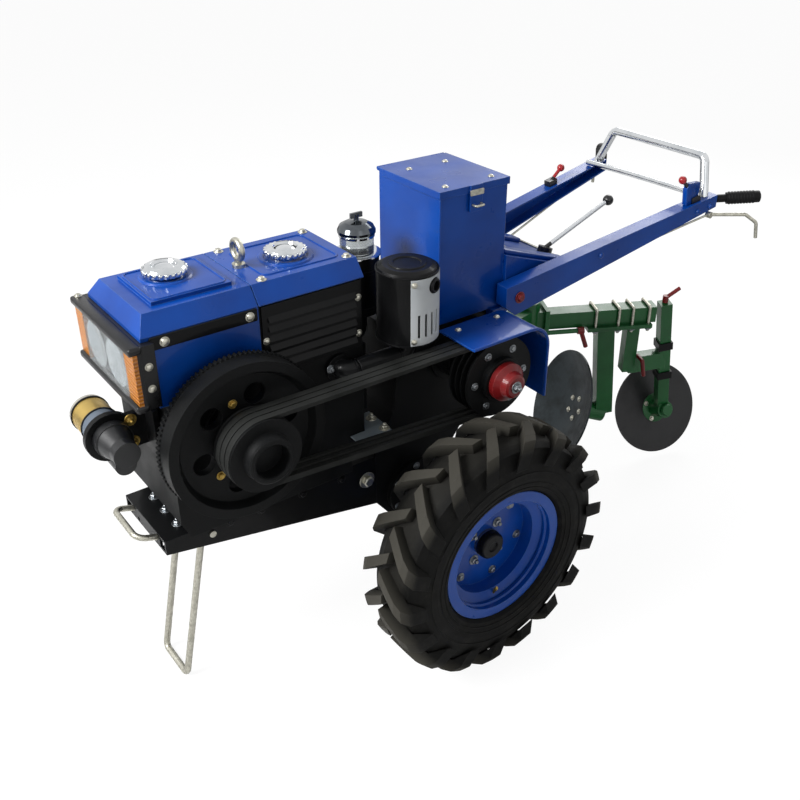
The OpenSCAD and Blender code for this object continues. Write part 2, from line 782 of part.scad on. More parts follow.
module flywheel() {
    web_in = flywheel_in + flywheel_w * 0.3;
    web_out = flywheel_in + flywheel_w * 0.66;
    place() color("#17181a") translate([crank_x, 0, crank_z]) difference() {
        union() {
            along_y() rotate_extrude($fn = 96) polygon([[0, 60], [crank_r, 60], [crank_r, flywheel_in - 2],
                [58, flywheel_in - 2], [58, web_in], [flywheel_r - 30, web_in],
                [flywheel_r - 26, flywheel_in], [flywheel_r, flywheel_in], [flywheel_r, flywheel_out],
                [flywheel_r - 22, flywheel_out],
                [flywheel_r - 32, web_out], [64, web_out], [60, flywheel_out], [0, flywheel_out]]);
            along_y(flywheel_in) linear_extrude(13) difference() {
                ring_outline();
                circle(r = flywheel_r - 4, $fn = 96);
            }
        }
        for (i = [0 : 5])
            rotate([0, i * 60 + 15, 0]) translate([flywheel_r * 0.57, 0, 0]) along_y(flywheel_in)
                cylinder(r = flywheel_r * 0.135, h = flywheel_w);
    }
}

// Half section of a grooved pulley: radius against the distance along its shaft.
module grooved_pulley(r, core_r) {
    half = belt_w / 2 + 0.4;
    difference() {
        translate([core_r, -pulley_half]) square([r - core_r, 2 * pulley_half]);
        for (i = [0 : belt_count - 1])
            translate([r, (i - (belt_count - 1) / 2) * belt_pitch])
                polygon([[belt_proud, half], [-groove_depth, half - 3],
                    [-groove_depth, 3 - half], [belt_proud, -half]]);
    }
}

module engine_pulley() {
    y1 = belt_middle_y + pulley_half;
    place() color("#222326") translate([crank_x, 0, crank_z]) difference() {
        along_y() rotate_extrude($fn = 96) {
            translate([0, belt_middle_y]) grooved_pulley(engine_pulley_r, 0);
            translate([0, flywheel_out + seat_gap])
                square([62, belt_middle_y - pulley_half - flywheel_out - seat_gap + 1]);
            translate([0, y1 - 1]) polygon([[0, 0], [54, 0], [50, 24], [0, 24]]);
        }
        along_y(y1 - 6) cylinder(r = 38, h = 40);
    }
}

module clutch_pulley() {
    place() color("#1a1b1d") translate([clutch_x, 0, clutch_z]) along_y() rotate_extrude($fn = 96) {
        translate([0, belt_middle_y]) grooved_pulley(clutch_pulley_r, 0);
        translate([0, gearbox_y]) square([20, belt_middle_y - gearbox_y]);
        translate([0, gearbox_y + 60 + move_gap]) square([45, belt_middle_y - gearbox_y - 60 - move_gap]);
        translate([0, belt_middle_y]) square([56, 50]);
    }
}

module clutch_hub() {
    y0 = belt_middle_y + 50 + seat_gap;
    l = clutch_hub_out - y0;
    place() color("#b3202a") translate([clutch_x, 0, clutch_z]) along_y(y0) rotate_extrude()
        polygon([[0, 0], [48, 0], [48, 14], [34, 24], [30, l - 4], [24, l], [0, l]]);
}

// Section of a belt as radius against width; grow thickens it for the splices.
module belt_section(r, grow = 0) {
    back = belt_w / 2 + grow;
    polygon([[r + grow, back], [r - belt_h - grow, back - 3],
        [r - belt_h - grow, 3 - back], [r + grow, -back]]);
}

// One belt round both pulleys, in a plane where X runs from the engine to the clutch.
module belt_loop() {
    a = [crank_x, -crank_z];
    b = [clutch_x, -clutch_z];
    span = norm(b - a);
    lean = asin((clutch_pulley_r - engine_pulley_r) / span);
    run = span * cos(lean);
    r1 = engine_pulley_r + belt_proud;
    r2 = clutch_pulley_r + belt_proud;
    translate([a.x, a.y, 0]) rotate([0, 0, atan2(b.y - a.y, b.x - a.x)]) {
        rotate_extrude(angle = 180 - 2 * lean, start = 90 + lean, $fn = 96) belt_section(r1);
        translate([span, 0, 0]) rotate_extrude(angle = 180 + 2 * lean, start = -90 - lean, $fn = 96)
            belt_section(r2);
        for (s = [0, 1])
            mirror([0, s, 0]) rotate([0, 0, lean]) rotate([90, 0, 90]) {
                linear_extrude(run) belt_section(r1);
                for (end = [0, run])
                    translate([0, 0, end - 2]) linear_extrude(4) belt_section(r1, seam_gap);
            }
    }
}

module belts() {
    place() color("#101010")
        for (i = [0 : belt_count - 1])
            along_y(belt_middle_y + (i - (belt_count - 1) / 2) * belt_pitch) belt_loop();
}

module belt_fender() {
    y0 = gearbox_y + seat_gap;
    yi = arm_front_y + arm_w / 2 + 5;
    w = fender_out - yi;
    t = fender_t;
    bend_r = 60;
    x_back = -262;
    x_front = muffler_x - muffler_r - 5 - move_gap;
    z_top = fender_top;
    z_low = clutch_z - 88;
    bracket_z = z_top - 46;
    place() color("#1f4fb0") {
        translate([x_back + bend_r - 1, yi, z_top - t]) cube([x_front - x_back - bend_r + 1, w, t]);
        translate([x_back + bend_r, 0, z_top - bend_r]) along_y(yi)
            rotate_extrude(angle = 90, start = 180) translate([bend_r - t, 0]) square([t, w]);
        translate([x_back, yi, z_low]) cube([t, w, z_top - bend_r - z_low + 1]);
        translate([x_back + 60, y0, bracket_z]) cube([60, yi + t - y0, t]);
        translate([x_back + 60, yi, bracket_z]) cube([60, t, z_top - t - bracket_z + 1]);
    }
}

// Toolbox

module toolbox() {
    x0 = toolbox_back;
    z0 = gearbox_top + seat_gap;
    place() color("#1f4fb0") {
        difference() {
            translate([x0, -toolbox_y, z0]) cube([toolbox_l, 2 * toolbox_y, toolbox_top - z0]);
            translate([x0 + sheet_t, -toolbox_y + sheet_t, z0 + sheet_t])
                cube([toolbox_l - 2 * sheet_t, 2 * (toolbox_y - sheet_t), toolbox_top - z0]);
        }
        for (x = [x0, x0 + toolbox_l - knuckle_l]) {
            translate([x, hinge_y, hinge_z]) rotate([0, 90, 0]) cylinder(r = knuckle_r, h = knuckle_l);
            translate([x, hinge_y, hinge_z - knuckle_r])
                cube([knuckle_l, -toolbox_y + 1 - hinge_y, knuckle_r]);
        }
        translate([x0, hinge_y, hinge_z]) rotate([0, 90, 0]) cylinder(r = hinge_pin_r, h = toolbox_l);
    }
}

module toolbox_lid() {
    x0 = toolbox_back;
    gap = 1;
    over = gap + sheet_t;
    inner_l = toolbox_l - 2 * knuckle_l - 2;
    place() color("#1f4fb0") difference() {
        union() {
            translate([x0 - over, -toolbox_y - 1, toolbox_top + seat_gap])
                cube([toolbox_l + 2 * over, 2 * toolbox_y + 1 + over, sheet_t]);
            translate([x0 - over, toolbox_y + gap, toolbox_top - lid_skirt])
                cube([toolbox_l + 2 * over, sheet_t, lid_skirt + 1]);
            for (x = [x0 - over, x0 + toolbox_l + gap])
                translate([x, -toolbox_y + 20, toolbox_top - lid_skirt])
                    cube([sheet_t, 2 * toolbox_y - 20 + over, lid_skirt + 1]);
            translate([x0 + knuckle_l + 1, hinge_y, hinge_z]) rotate([0, 90, 0])
                cylinder(r = knuckle_r, h = inner_l);
            translate([x0 + knuckle_l + 1, hinge_y, toolbox_top + seat_gap])
                cube([inner_l, -toolbox_y - hinge_y, sheet_t]);
            translate([x0 + toolbox_l / 2 - 18, toolbox_y + over - 1, toolbox_top - 60]) cube([36, 5, 64]);
        }
        translate([x0, hinge_y, hinge_z]) rotate([0, 90, 0])
            cylinder(r = hinge_pin_r + run_gap, h = toolbox_l);
    }
}

// Cover behind the toolbox and handles

module gear_cover() {
    x0 = -gearbox_back - seat_gap;
    xt = toolbox_back - seat_gap;
    xr = cover_rear;
    xi = cover_rear + 6;
    w = cover_y;
    wall = 12;
    place() color("#1f4fb0") {
        difference() {
            side_view(-w, 2 * w)
                polygon([[x0, gearbox_top - 24], [x0, gearbox_top - 1], [xt, gearbox_top - 1],
                    [xt, cover_top(xt)], [xr, cover_top(xr)], [xr, cover_top(xr) - 16],
                    [xr + 28, cover_top(xr) - 25], [xr + 83, cover_top(xr) - 31]]);
            side_view(-w + wall, 2 * (w - wall))
                polygon([[x0 - 20, gearbox_top - 60], [x0 - 20, gearbox_top - wall - 1],
                    [xt - wall, gearbox_top - wall - 1], [xt - wall, cover_top(xt) - wall],
                    [xi, cover_top(xi) - wall], [xi, gearbox_top - 60]]);
        }
        both_sides() along_y_at(boss, 0) cylinder(r = boss_r, h = boss_end - boss.y);
    }
}

module arm() {
    a = arm_at(0);
    top = [norm([arm_l, arm_flare]), arm_rise];
    t = arm_t;
    translate(a) rotate([0, 0, -arm_turn]) mirror([1, 0, 0]) difference() {
        side_view(-arm_w / 2, arm_w)
            polygon([[0, 0], [top.x, top.y], [top.x, top.y - arm_rear_h],
                [30, -arm_front_h], [0, -arm_front_h + 26]]);
        side_view(-arm_w / 2 - 1, arm_w + 1 - t)
            polygon([[t, -t], [top.x - t, top.y - t], [top.x - t, top.y - arm_rear_h + t],
                [30 + t, -arm_front_h + t], [t, -arm_front_h + 30]]);
    }
}

module handle_arms() { place() color("#1f4fb0") both_sides() arm(); }

// Where the tubes of the hoop and of the grips leave the left arm.
function hoop_foot() = arm_at(0.965) + [0, 0, seat_gap];
function arm_end() = arm_at(1) + [-seat_gap, 0, -arm_rear_h / 2];

module handle_hoop() {
    foot = hoop_foot();
    y0 = foot.y;
    y1 = foot.y - hoop_taper;
    place() color("#d0d3d6") difference() {
        translate([foot.x, 0, foot.z]) rotate([0, -hoop_lean, 0])
            bent_rod([[0, y0, -20], [0, y1, hoop_rise], [0, -y1, hoop_rise], [0, -y0, -20]],
                hoop_r, 2 * hoop_r);
        translate([foot.x, 0, foot.z]) rotate([0, arm_pitch, 0])
            translate([-80, -400, -60]) cube([160, 800, 60]);
    }
}

module grips() {
    e = arm_end();
    place() color("#141414") both_sides() difference() {
        union() {
            rod(e - grip_dir * 20, e + grip_dir * 40, hoop_r - 1);
            rod(e + grip_dir * 39, e + grip_dir * 128, grip_r);
        }
        translate(e) rotate([0, 0, -arm_turn])
            translate([0, -60, -60]) cube([60, 120, 120]);
    }
}

module steering_levers() {
    e = arm_end() + [26, 0, -arm_rear_h / 2 - 18];
    place() color("#a8abb0") both_sides() {
        along_y_at(e, 12) cylinder(r = 9, h = 14);
        bent_rod([e + [-2, 19, 0], e + [-84, 78, 0], e + [-108, 100, -22], e + [-112, 104, -66]], 5, 12);
        rod(e + [3, 17, 0], [rod_eye.x, rod_eye.y + 5, rod_eye.z], 3);
        along_y_at(rod_eye, 0) cylinder(r = 8, h = 12);
    }
}

// A bracket on an arm's top at fraction f of its length, with a lever that reaches by v.
module small_lever(f, v) {
    a = arm_at(f);
    translate(a) rotate([0, 0, -arm_turn]) rotate([0, arm_pitch, 0])
        translate([-16, -11, seat_gap]) cube([32, 22, 16]);
    rod(a + [0, 0, 12], a + v, 5);
    translate(a + v) sphere(r = 11);
}

module control_levers() {
    place() color("#2a2b2e") {
        translate([gate.x, gate.y, cover_top(gate.x)]) rotate([0, -atan(cover_slope), 0])
            translate([0, 0, seat_gap]) cylinder(r = 20, h = 16);
        rod([gate.x, gate.y, cover_top(gate.x) + 12], gear_knob, 6);
        translate(gear_knob) sphere(r = 15);
        small_lever(0.9, [60, 0, 70]);
        mirror([0, 1, 0]) small_lever(0.68, [-36, 0, 44]);
    }
}

// Plough

module plough_hitch() {
    x0 = -gearbox_back - seat_gap;
    swivel = on_beam(-60);
    screw = beside_beam(-10, screw_y);
    screw_end = beside_beam(screw_l, screw_y);
    place() color("#1f6b35") {
        translate([x0 - 22, -80, hitch_low - 15]) cube([22, 160, 120]);
        difference() {
            translate([x0 - 110, -45, hitch_low]) cube([90, 90, hitch_h]);
            translate([x0 - hitch_pin_back, 0, hitch_low - 1]) cylinder(r = hitch_pin_r, h = hitch_h + 2);
        }
        bar([x0 - 100, 0, hitch_low + 25], [swivel.x, swivel.y, beam_z + 10], 60, 60);
        translate([swivel.x, swivel.y, beam_z - 55]) cylinder(r = 40, h = 120);
        rod([screw.x, screw.y, beam_z - screw_drop], [screw_end.x, screw_end.y, beam_z - screw_drop], 7);
        translate([beam_front.x, beam_front.y, beam_z]) rotate([0, 0, beam_turn]) {
            translate([-60, -30, -35]) cube([60 - seat_gap, 60, 70]);
            translate([-12 - seat_gap, -45, -45]) cube([12, 90, 90]);
        }
    }
}

module plough_beam() {
    place() color("#1f6b35") translate([beam_front.x, beam_front.y, beam_z]) rotate([0, 0, beam_turn])
        translate([0, -beam_w / 2, -beam_w / 2]) cube([beam_l, beam_w, beam_w]);
}

// A point on the beam's middle line, a distance from its front end, and one beside it on the left.
function on_beam(d) = [beam_front.x + beam_dir.x * d, beam_front.y + beam_dir.y * d];
function beside_beam(d, w) = on_beam(d) + [beam_dir.y * w, -beam_dir.x * w];

// A clamp plate hung under the beam, centred on the beam.
module beam_plate(d, l) {
    c = on_beam(d);
    translate([c.x, c.y, beam_z - beam_w / 2 - seat_gap]) rotate([0, 0, beam_turn])
        translate([-l / 2, -beam_w / 2 - 15, -12]) cube([l, beam_w + 30, 12]);
}

module plough_standards() {
    n = disc_axis();
    t = tail_axis();
    hub = disc_pos - n * disc_hub_l;
    under = beam_z - beam_w / 2 - seat_gap;
    leg = on_beam(190);
    hanger = on_beam(beam_l - 65);
    tail_hub = tail_pos + t * 36;
    tail_top = [tail_post.x, tail_post.y, beam_z + tail_post_rise];
    sleeve = tail_top * 0.5 + tail_hub * 0.5;
    place() color("#1f6b35") difference() {
        union() {
            beam_plate(190, 130);
            post(hub + [-2, 0, 12], [leg.x, leg.y, under - 11], 54, 44, beam_turn);
            rod(hub, disc_pos - n * 26, disc_hub_r);
            beam_plate(beam_l - 65, 100);
            post([hanger.x, hanger.y, sleeve.z - 20], [hanger.x, hanger.y, under - 6], 40, 40, beam_turn);
            bar([hanger.x, hanger.y, sleeve.z], sleeve, 36, 54);
            post(tail_hub, tail_top, 36, 36, beam_turn);
            rod(tail_pos + t * 9, tail_pos + t * 64, 28);
        }
        rod(hub - n * 10, disc_pos - n * 20, disc_shaft_r + run_gap);
        rod(tail_pos + t * 4, tail_pos + t * 80, tail_shaft_r + run_gap);
    }
}

module plough_cranks() {
    z0 = beam_z - screw_drop;
    near = beside_beam(screw_l + seat_gap, screw_y);
    far = beside_beam(screw_l + 20, screw_y);
    mid = beside_beam(screw_l + 11, screw_y);
    top_z = beam_z + tail_post_rise + seat_gap + 1.4;
    place() color("#a3262c") {
        rod([near.x, near.y, z0], [far.x, far.y, z0], 11);
        rod([mid.x, mid.y, z0], [mid.x - 22, mid.y + 6, z0 - 58], 7);
        translate([tail_post.x, tail_post.y, top_z]) cylinder(r = 9, h = 22);
        rod([tail_post.x, tail_post.y, top_z + 14], [tail_post.x - 44, tail_post.y + 14, top_z + 40], 6);
    }
}

module plough_disc() {
    steps = 10;
    function dish(r) = disc_dish_r - sqrt(disc_dish_r * disc_dish_r - r * r);
    place() color("#8f9498") translate(disc_pos) rotate([0, 90 - disc_tilt, disc_yaw]) {
        rotate_extrude($fn = 96) polygon([
            each [for (i = [0 : steps]) let (r = disc_r * i / steps) [r, dish(r) - disc_t]],
            each [for (i = [steps : -1 : 0]) let (r = disc_r * i / steps) [r, dish(r)]]]);
        translate([0, 0, -20]) cylinder(r = 46, h = 17);
        translate([0, 0, -disc_hub_l - 6]) cylinder(r = disc_shaft_r, h = disc_hub_l);
    }
}

module tail_disc() {
    place() color("#2b2c2f") translate(tail_pos) rotate([0, 0, -tail_yaw]) rotate([tail_tilt, 0, 0]) {
        along_y(-tail_disc_t / 2) cylinder(r = tail_disc_r, h = tail_disc_t, $fn = 96);
        along_y(0) cylinder(r = tail_shaft_r, h = 68);
    }
}

frame();
bumper();
stand();
gearbox();
gear_cover();
engine_block();
side_panels();
hood();
fuel_tank();
filler_caps();
lifting_eye();
lamp_housing();
lamp_lens();
amber_lenses();
starter_motor();
starter_bracket();
muffler();
muffler_guard();
air_cleaner();
air_cleaner_bowl();
air_cleaner_cap();
flywheel();
engine_pulley();
belts();
clutch_pulley();
clutch_hub();
belt_fender();
toolbox();
toolbox_lid();
handle_arms();
handle_hoop();
grips();
steering_levers();
control_levers();
tyre_left();
rim_left();
axle_left();
tyre_right();
rim_right();
axle_right();
plough_hitch();
plough_beam();
plough_standards();
plough_cranks();
plough_disc();
tail_disc();
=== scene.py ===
import bpy
import bmesh
import math
from mathutils import Matrix, Vector


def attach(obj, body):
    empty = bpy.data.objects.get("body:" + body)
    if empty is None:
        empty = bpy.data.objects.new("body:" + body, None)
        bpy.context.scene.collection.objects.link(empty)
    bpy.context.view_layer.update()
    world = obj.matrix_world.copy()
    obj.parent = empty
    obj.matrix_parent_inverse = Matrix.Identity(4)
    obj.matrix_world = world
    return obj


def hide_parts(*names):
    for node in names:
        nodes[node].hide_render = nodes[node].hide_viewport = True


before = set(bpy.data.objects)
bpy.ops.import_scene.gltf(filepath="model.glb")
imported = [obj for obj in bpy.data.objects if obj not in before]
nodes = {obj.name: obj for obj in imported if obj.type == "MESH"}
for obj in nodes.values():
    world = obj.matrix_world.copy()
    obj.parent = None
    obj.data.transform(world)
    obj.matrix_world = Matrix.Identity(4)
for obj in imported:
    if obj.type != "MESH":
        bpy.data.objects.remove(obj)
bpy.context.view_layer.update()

# Places are given in millimetres from the ground under the axle, as in the part's source.
# The part's origin lies this far behind the axle.
SHIFT = 207.893
MM = 0.001
METRE = 1000
TYRE_R = 320


def at(x, y, z):
    """A place on the machine, in the part's frame and in metres."""
    return Vector(((x + SHIFT) * MM, y * MM, z * MM))


# Camera, with the focal length and the picture's centre in pixels

IMAGE_PX = 800
FOCAL_PX = 947.9
CENTRE_PX = (428.1, 386.5)
SENSOR_MM = 36
camera_data = bpy.data.cameras.new("camera")
camera_data.sensor_width = SENSOR_MM
camera_data.lens = SENSOR_MM * FOCAL_PX / IMAGE_PX
camera_data.shift_x = -(CENTRE_PX[0] - IMAGE_PX / 2) / IMAGE_PX
camera_data.shift_y = -(IMAGE_PX / 2 - CENTRE_PX[1]) / IMAGE_PX
camera_data.clip_end = 200
camera = bpy.data.objects.new("camera", camera_data)
right = Vector((-0.79044219, 0.61242848, 0.01151113))
up = Vector((-0.29614266, -0.39853732, 0.86802507))
forward = Vector((-0.53619089, -0.68271470, -0.49638691))
turn = Matrix((right, up, -forward)).transposed().to_4x4()
camera.matrix_world = Matrix.Translation(at(1225.86, 1726.02, 1777.84)) @ turn
bpy.context.scene.collection.objects.link(camera)
bpy.context.scene.camera = camera


# Materials. METRE / size is how often a pattern of that size in millimetres repeats.

def linear(hexa):
    """The linear colour of an sRGB hex value."""
    parts = [int(hexa[i:i + 2], 16) / 255 for i in (1, 3, 5)]
    return tuple(c / 12.92 if c <= 0.04045 else ((c + 0.055) / 1.055) ** 2.4 for c in parts) + (1.0,)


def add(tree, kind, inputs=None, out=None, **settings):
    """Adds a node with its settings and links; gives the node, or one of its sockets."""
    made = tree.nodes.new(kind)
    for key, value in settings.items():
        setattr(made, key, value)
    for key, value in (inputs or {}).items():
        if isinstance(value, bpy.types.NodeSocket):
            tree.links.new(value, made.inputs[key])
        else:
            made.inputs[key].default_value = value
    return made if out is None else made.outputs[out]


def start(name, **constants):
    """A new material: its tree, its shader with constants set, and the object's coordinates."""
    made = bpy.data.materials.new(name)
    made.use_nodes = True
    tree = made.node_tree
    shader = tree.nodes["Principled BSDF"]
    for key, value in constants.items():
        shader.inputs[key.replace("_", " ")].default_value = value
    where = add(tree, "ShaderNodeTexCoord", out="Object")
    return made, tree, shader, where


def enamel(name, hexa, deep, worn_and_highlit, gloss=0.25, fold_mm=2.0, coat=0.2, specular=0.3, wear_and_highlight=0.5):
    """Sprayed enamel on steel: an even colour under a glossy skin with a faint orange peel,
    a little deeper in broad blotches, duller where hands and dust have been, and paler on folds,
    where the pale colour is partly wear and partly a painted highlight along the edges."""
    made, tree, shader, where = start(name, Coat_Weight=coat, Coat_Roughness=0.08)
    shader.inputs["Specular IOR Level"].default_value = specular
    blotch = add(tree, "ShaderNodeTexNoise", {"Vector": where, "Scale": METRE / 160, "Detail": 4.0}, "Fac")
    spread = add(tree, "ShaderNodeMapRange", {"Value": blotch, "From Min": 0.35, "From Max": 0.7}, "Result")
    colour = add(tree, "ShaderNodeMix", {0: spread, 6: linear(hexa), 7: linear(deep)}, 2, data_type="RGBA")
    fold = add(tree, "ShaderNodeBevel", {"Radius": fold_mm * MM}, "Normal", samples=4)
    flat = add(tree, "ShaderNodeNewGeometry", out="Normal")
    along = add(tree, "ShaderNodeVectorMath", {0: fold, 1: flat}, "Value", operation="DOT_PRODUCT")
    # Folds are mixed towards the paler colour: partly edge wear, partly a painted highlight along the edges.
    worn_highlit_edge = add(tree, "ShaderNodeMapRange", {"Value": along, "From Min": 0.985, "From Max": 0.86,
                                            "To Max": wear_and_highlight}, "Result")
    colour = add(tree, "ShaderNodeMix", {0: worn_highlit_edge, 6: colour, 7: linear(worn_and_highlit)}, 2, data_type="RGBA")
    tree.links.new(colour, shader.inputs["Base Color"])
    smear = add(tree, "ShaderNodeTexNoise", {"Vector": where, "Scale": METRE / 70, "Detail": 6.0}, "Fac")
    dull = add(tree, "ShaderNodeMapRange", {"Value": smear, "From Min": 0.3, "From Max": 0.75,
                                            "To Min": gloss, "To Max": gloss + 0.2}, "Result")
    tree.links.new(dull, shader.inputs["Roughness"])
    peel = add(tree, "ShaderNodeTexNoise", {"Vector": where, "Scale": METRE / 5, "Detail": 2.0}, "Fac")
    skin = add(tree, "ShaderNodeBump", {"Height": peel, "Distance": 0.05 * MM, "Normal": fold}, "Normal")
    tree.links.new(skin, shader.inputs["Normal"])
    return made


def plated(name, hexa, deep, rough_low, rough_high, grain_mm=8.0, fold_mm=0.8):
    """Plated or turned steel: a metal skin whose shine wavers with the grain of the steel under it."""
    made, tree, shader, where = start(name, Metallic=1.0)
    grain = add(tree, "ShaderNodeTexNoise", {"Vector": where, "Scale": METRE / grain_mm,
                                             "Detail": 6.0}, "Fac")
    spread = add(tree, "ShaderNodeMapRange", {"Value": grain, "From Min": 0.35, "From Max": 0.7}, "Result")
    colour = add(tree, "ShaderNodeMix", {0: spread, 6: linear(hexa), 7: linear(deep)}, 2, data_type="RGBA")
    tree.links.new(colour, shader.inputs["Base Color"])
    haze = add(tree, "ShaderNodeTexNoise", {"Vector": where, "Scale": METRE / (3 * grain_mm),
                                            "Detail": 4.0}, "Fac")
    dull = add(tree, "ShaderNodeMapRange", {"Value": haze, "From Min": 0.3, "From Max": 0.7,
                                            "To Min": rough_low, "To Max": rough_high}, "Result")
    tree.links.new(dull, shader.inputs["Roughness"])
    fold = add(tree, "ShaderNodeBevel", {"Radius": fold_mm * MM}, "Normal", samples=4)
    skin = add(tree, "ShaderNodeBump", {"Height": grain, "Distance": 0.03 * MM, "Normal": fold}, "Normal")
    tree.links.new(skin, shader.inputs["Normal"])
    return made


def grained(name, hexa, deep, rough, grain_mm, depth_mm, specular=0.15, dust=None, tread=None,
            fold_mm=1.5):
    """A sand casting, or moulded rubber or plastic: a matte grainy skin, darker and smoother in
    blotches. Given their colours, earth dust lies on it in specks, and a tread is scuffed paler."""
    made, tree, shader, where = start(name)
    shader.inputs["Specular IOR Level"].default_value = specular
    blotch = add(tree, "ShaderNodeTexNoise", {"Vector": where, "Scale": METRE / 80, "Detail": 6.0}, "Fac")
    spread = add(tree, "ShaderNodeMapRange", {"Value": blotch, "From Min": 0.35, "From Max": 0.7}, "Result")
    colour = add(tree, "ShaderNodeMix", {0: spread, 6: linear(hexa), 7: linear(deep)}, 2, data_type="RGBA")
    if dust:
        speck = add(tree, "ShaderNodeTexNoise", {"Vector": where, "Scale": METRE / 35, "Detail": 8.0,
                                                 "Roughness": 0.7}, "Fac")
        film = add(tree, "ShaderNodeMapRange", {"Value": speck, "From Min": 0.5, "From Max": 0.75,
                                                "To Max": 0.5}, "Result")
        colour = add(tree, "ShaderNodeMix", {0: film, 6: colour, 7: linear(dust)}, 2, data_type="RGBA")
    if tread:
        flat = add(tree, "ShaderNodeVectorMath", {0: where, 1: (1, 0, 1)}, "Vector", operation="MULTIPLY")
        far = add(tree, "ShaderNodeVectorMath", {0: flat, 1: at(0, 0, TYRE_R)}, "Value",
                  operation="DISTANCE")
        scuff = add(tree, "ShaderNodeMapRange", {"Value": far, "From Min": (TYRE_R - 34) * MM,
                                                 "From Max": (TYRE_R - 4) * MM, "To Max": 0.8}, "Result")
        colour = add(tree, "ShaderNodeMix", {0: scuff, 6: colour, 7: linear(tread)}, 2, data_type="RGBA")
    tree.links.new(colour, shader.inputs["Base Color"])
    dull = add(tree, "ShaderNodeMapRange", {"Value": spread, "To Min": rough + 0.1,
                                            "To Max": rough - 0.08}, "Result")
    tree.links.new(dull, shader.inputs["Roughness"])
    grain = add(tree, "ShaderNodeTexNoise", {"Vector": where, "Scale": METRE / grain_mm,
                                             "Detail": 4.0}, "Fac")
    fold = add(tree, "ShaderNodeBevel", {"Radius": fold_mm * MM}, "Normal", samples=4)
    skin = add(tree, "ShaderNodeBump", {"Height": grain, "Distance": depth_mm * MM, "Normal": fold}, "Normal")
    tree.links.new(skin, shader.inputs["Normal"])
    return made


# Each enamel's third colour is its paler fold colour, partly wear and partly a painted edge highlight.
BLUE = enamel("blue_sprayed_enamel", "#0046a2", "#003788", "#5f86c4", specular=0.2)
BLACK = enamel("black_sprayed_enamel", "#0b0c0d", "#060607", "#2c2d30", gloss=0.35, coat=0.1,
               specular=0.12, wear_and_highlight=0.4)
GREEN = enamel("green_sprayed_enamel", "#1c6632", "#124c24", "#659a70", gloss=0.3, specular=0.25)
RED = enamel("red_sprayed_enamel", "#861619", "#641012", "#b35c5a", gloss=0.3, specular=0.25)
WHITE = enamel("white_sprayed_enamel", "#c3c7c9", "#aeb3b6", "#dcdcdc", gloss=0.35, fold_mm=1.0, coat=0.1)
# The shelf's grey is set paler than the plate's own grey: painted light from the sky on a plate that lies in
# shade.
GREY = enamel("grey_blue_sprayed_enamel", "#8f9aa0", "#7b868c", "#b4babd", gloss=0.35, fold_mm=1.0,
              coat=0.1)
IRON = grained("black_painted_cast_iron", "#0f1011", "#070808", 0.5, 4.0, 0.35, specular=0.14, fold_mm=2.5)
ZINC = plated("zinc_plated_steel", "#c2c0b4", "#a09e92", 0.32, 0.5)
YELLOW_ZINC = plated("yellow_passivated_zinc", "#b89c57", "#8f773a", 0.32, 0.5)
CHROME = plated("bright_chrome_plate", "#d6d8da", "#c2c6c9", 0.06, 0.16, grain_mm=30)
DARK_CHROME = plated("smoked_chrome_plate", "#64686c", "#4d5155", 0.1, 0.22, grain_mm=30)
STEEL = plated("turned_bare_steel", "#8f9294", "#70757a", 0.3, 0.48)
RUBBER = grained("moulded_grip_rubber", "#121213", "#0a0a0b", 0.5, 2.5, 0.12)
BELT = grained("wrapped_belt_rubber", "#2b2c2b", "#1c1d1c", 0.55, 3.0, 0.15)
PLASTIC = grained("moulded_black_polypropylene", "#0d0e10", "#08080a", 0.3, 2.0, 0.05, specular=0.35)
TYRE = grained("moulded_tyre_rubber", "#141413", "#0d0d0d", 0.62, 3.0, 0.25, specular=0.1, dust="#2b2a27",
               tread="#47453f")


def starter_finish():
    """Starter motor: a bare end cap, a yellow passivated case, a grey band and a black drive end,
    one after another along its shaft, with a black solenoid below."""
    case, band_from, drive, solenoid_top = -0.072, -0.014, 0.024, 0.676
    made, tree, shader, where = start("passivated_starter_steel")
    split = add(tree, "ShaderNodeSeparateXYZ", {"Vector": where})
    along, height = split.outputs["Y"], split.outputs["Z"]
    grain = add(tree, "ShaderNodeTexNoise", {"Vector": where, "Scale": METRE / 25, "Detail": 6.0}, "Fac")
    spread = add(tree, "ShaderNodeMapRange", {"Value": grain, "From Min": 0.35, "From Max": 0.7}, "Result")
    colour = add(tree, "ShaderNodeMix", {0: spread, 6: linear("#c9c6bc"), 7: linear("#a7a49a")}, 2,
                 data_type="RGBA")
    for begins, hexa in ((case, "#bda25e"), (band_from, "#59636f"), (drive, "#101113")):
        past = add(tree, "ShaderNodeMath", {0: along, 1: begins}, 0, operation="GREATER_THAN")
        colour = add(tree, "ShaderNodeMix", {0: past, 6: colour, 7: linear(hexa)}, 2, data_type="RGBA")
    low = add(tree, "ShaderNodeMath", {0: height, 1: solenoid_top}, 0, operation="LESS_THAN")
    colour = add(tree, "ShaderNodeMix", {0: low, 6: colour, 7: linear("#131416")}, 2, data_type="RGBA")
    tree.links.new(colour, shader.inputs["Base Color"])
    bare = add(tree, "ShaderNodeMath", {0: along, 1: band_from}, 0, operation="LESS_THAN")
    upper = add(tree, "ShaderNodeMath", {0: height, 1: solenoid_top}, 0, operation="GREATER_THAN")
    metal = add(tree, "ShaderNodeMath", {0: bare, 1: upper}, 0, operation="MULTIPLY")
    tree.links.new(metal, shader.inputs["Metallic"])
    dull = add(tree, "ShaderNodeMapRange", {"Value": grain, "From Min": 0.3, "From Max": 0.7,
                                            "To Min": 0.32, "To Max": 0.5}, "Result")
    tree.links.new(dull, shader.inputs["Roughness"])
    fold = add(tree, "ShaderNodeBevel", {"Radius": 1.5 * MM}, "Normal", samples=4)
    skin = add(tree, "ShaderNodeBump", {"Height": grain, "Distance": 0.1 * MM, "Normal": fold}, "Normal")
    tree.links.new(skin, shader.inputs["Normal"])
    return made


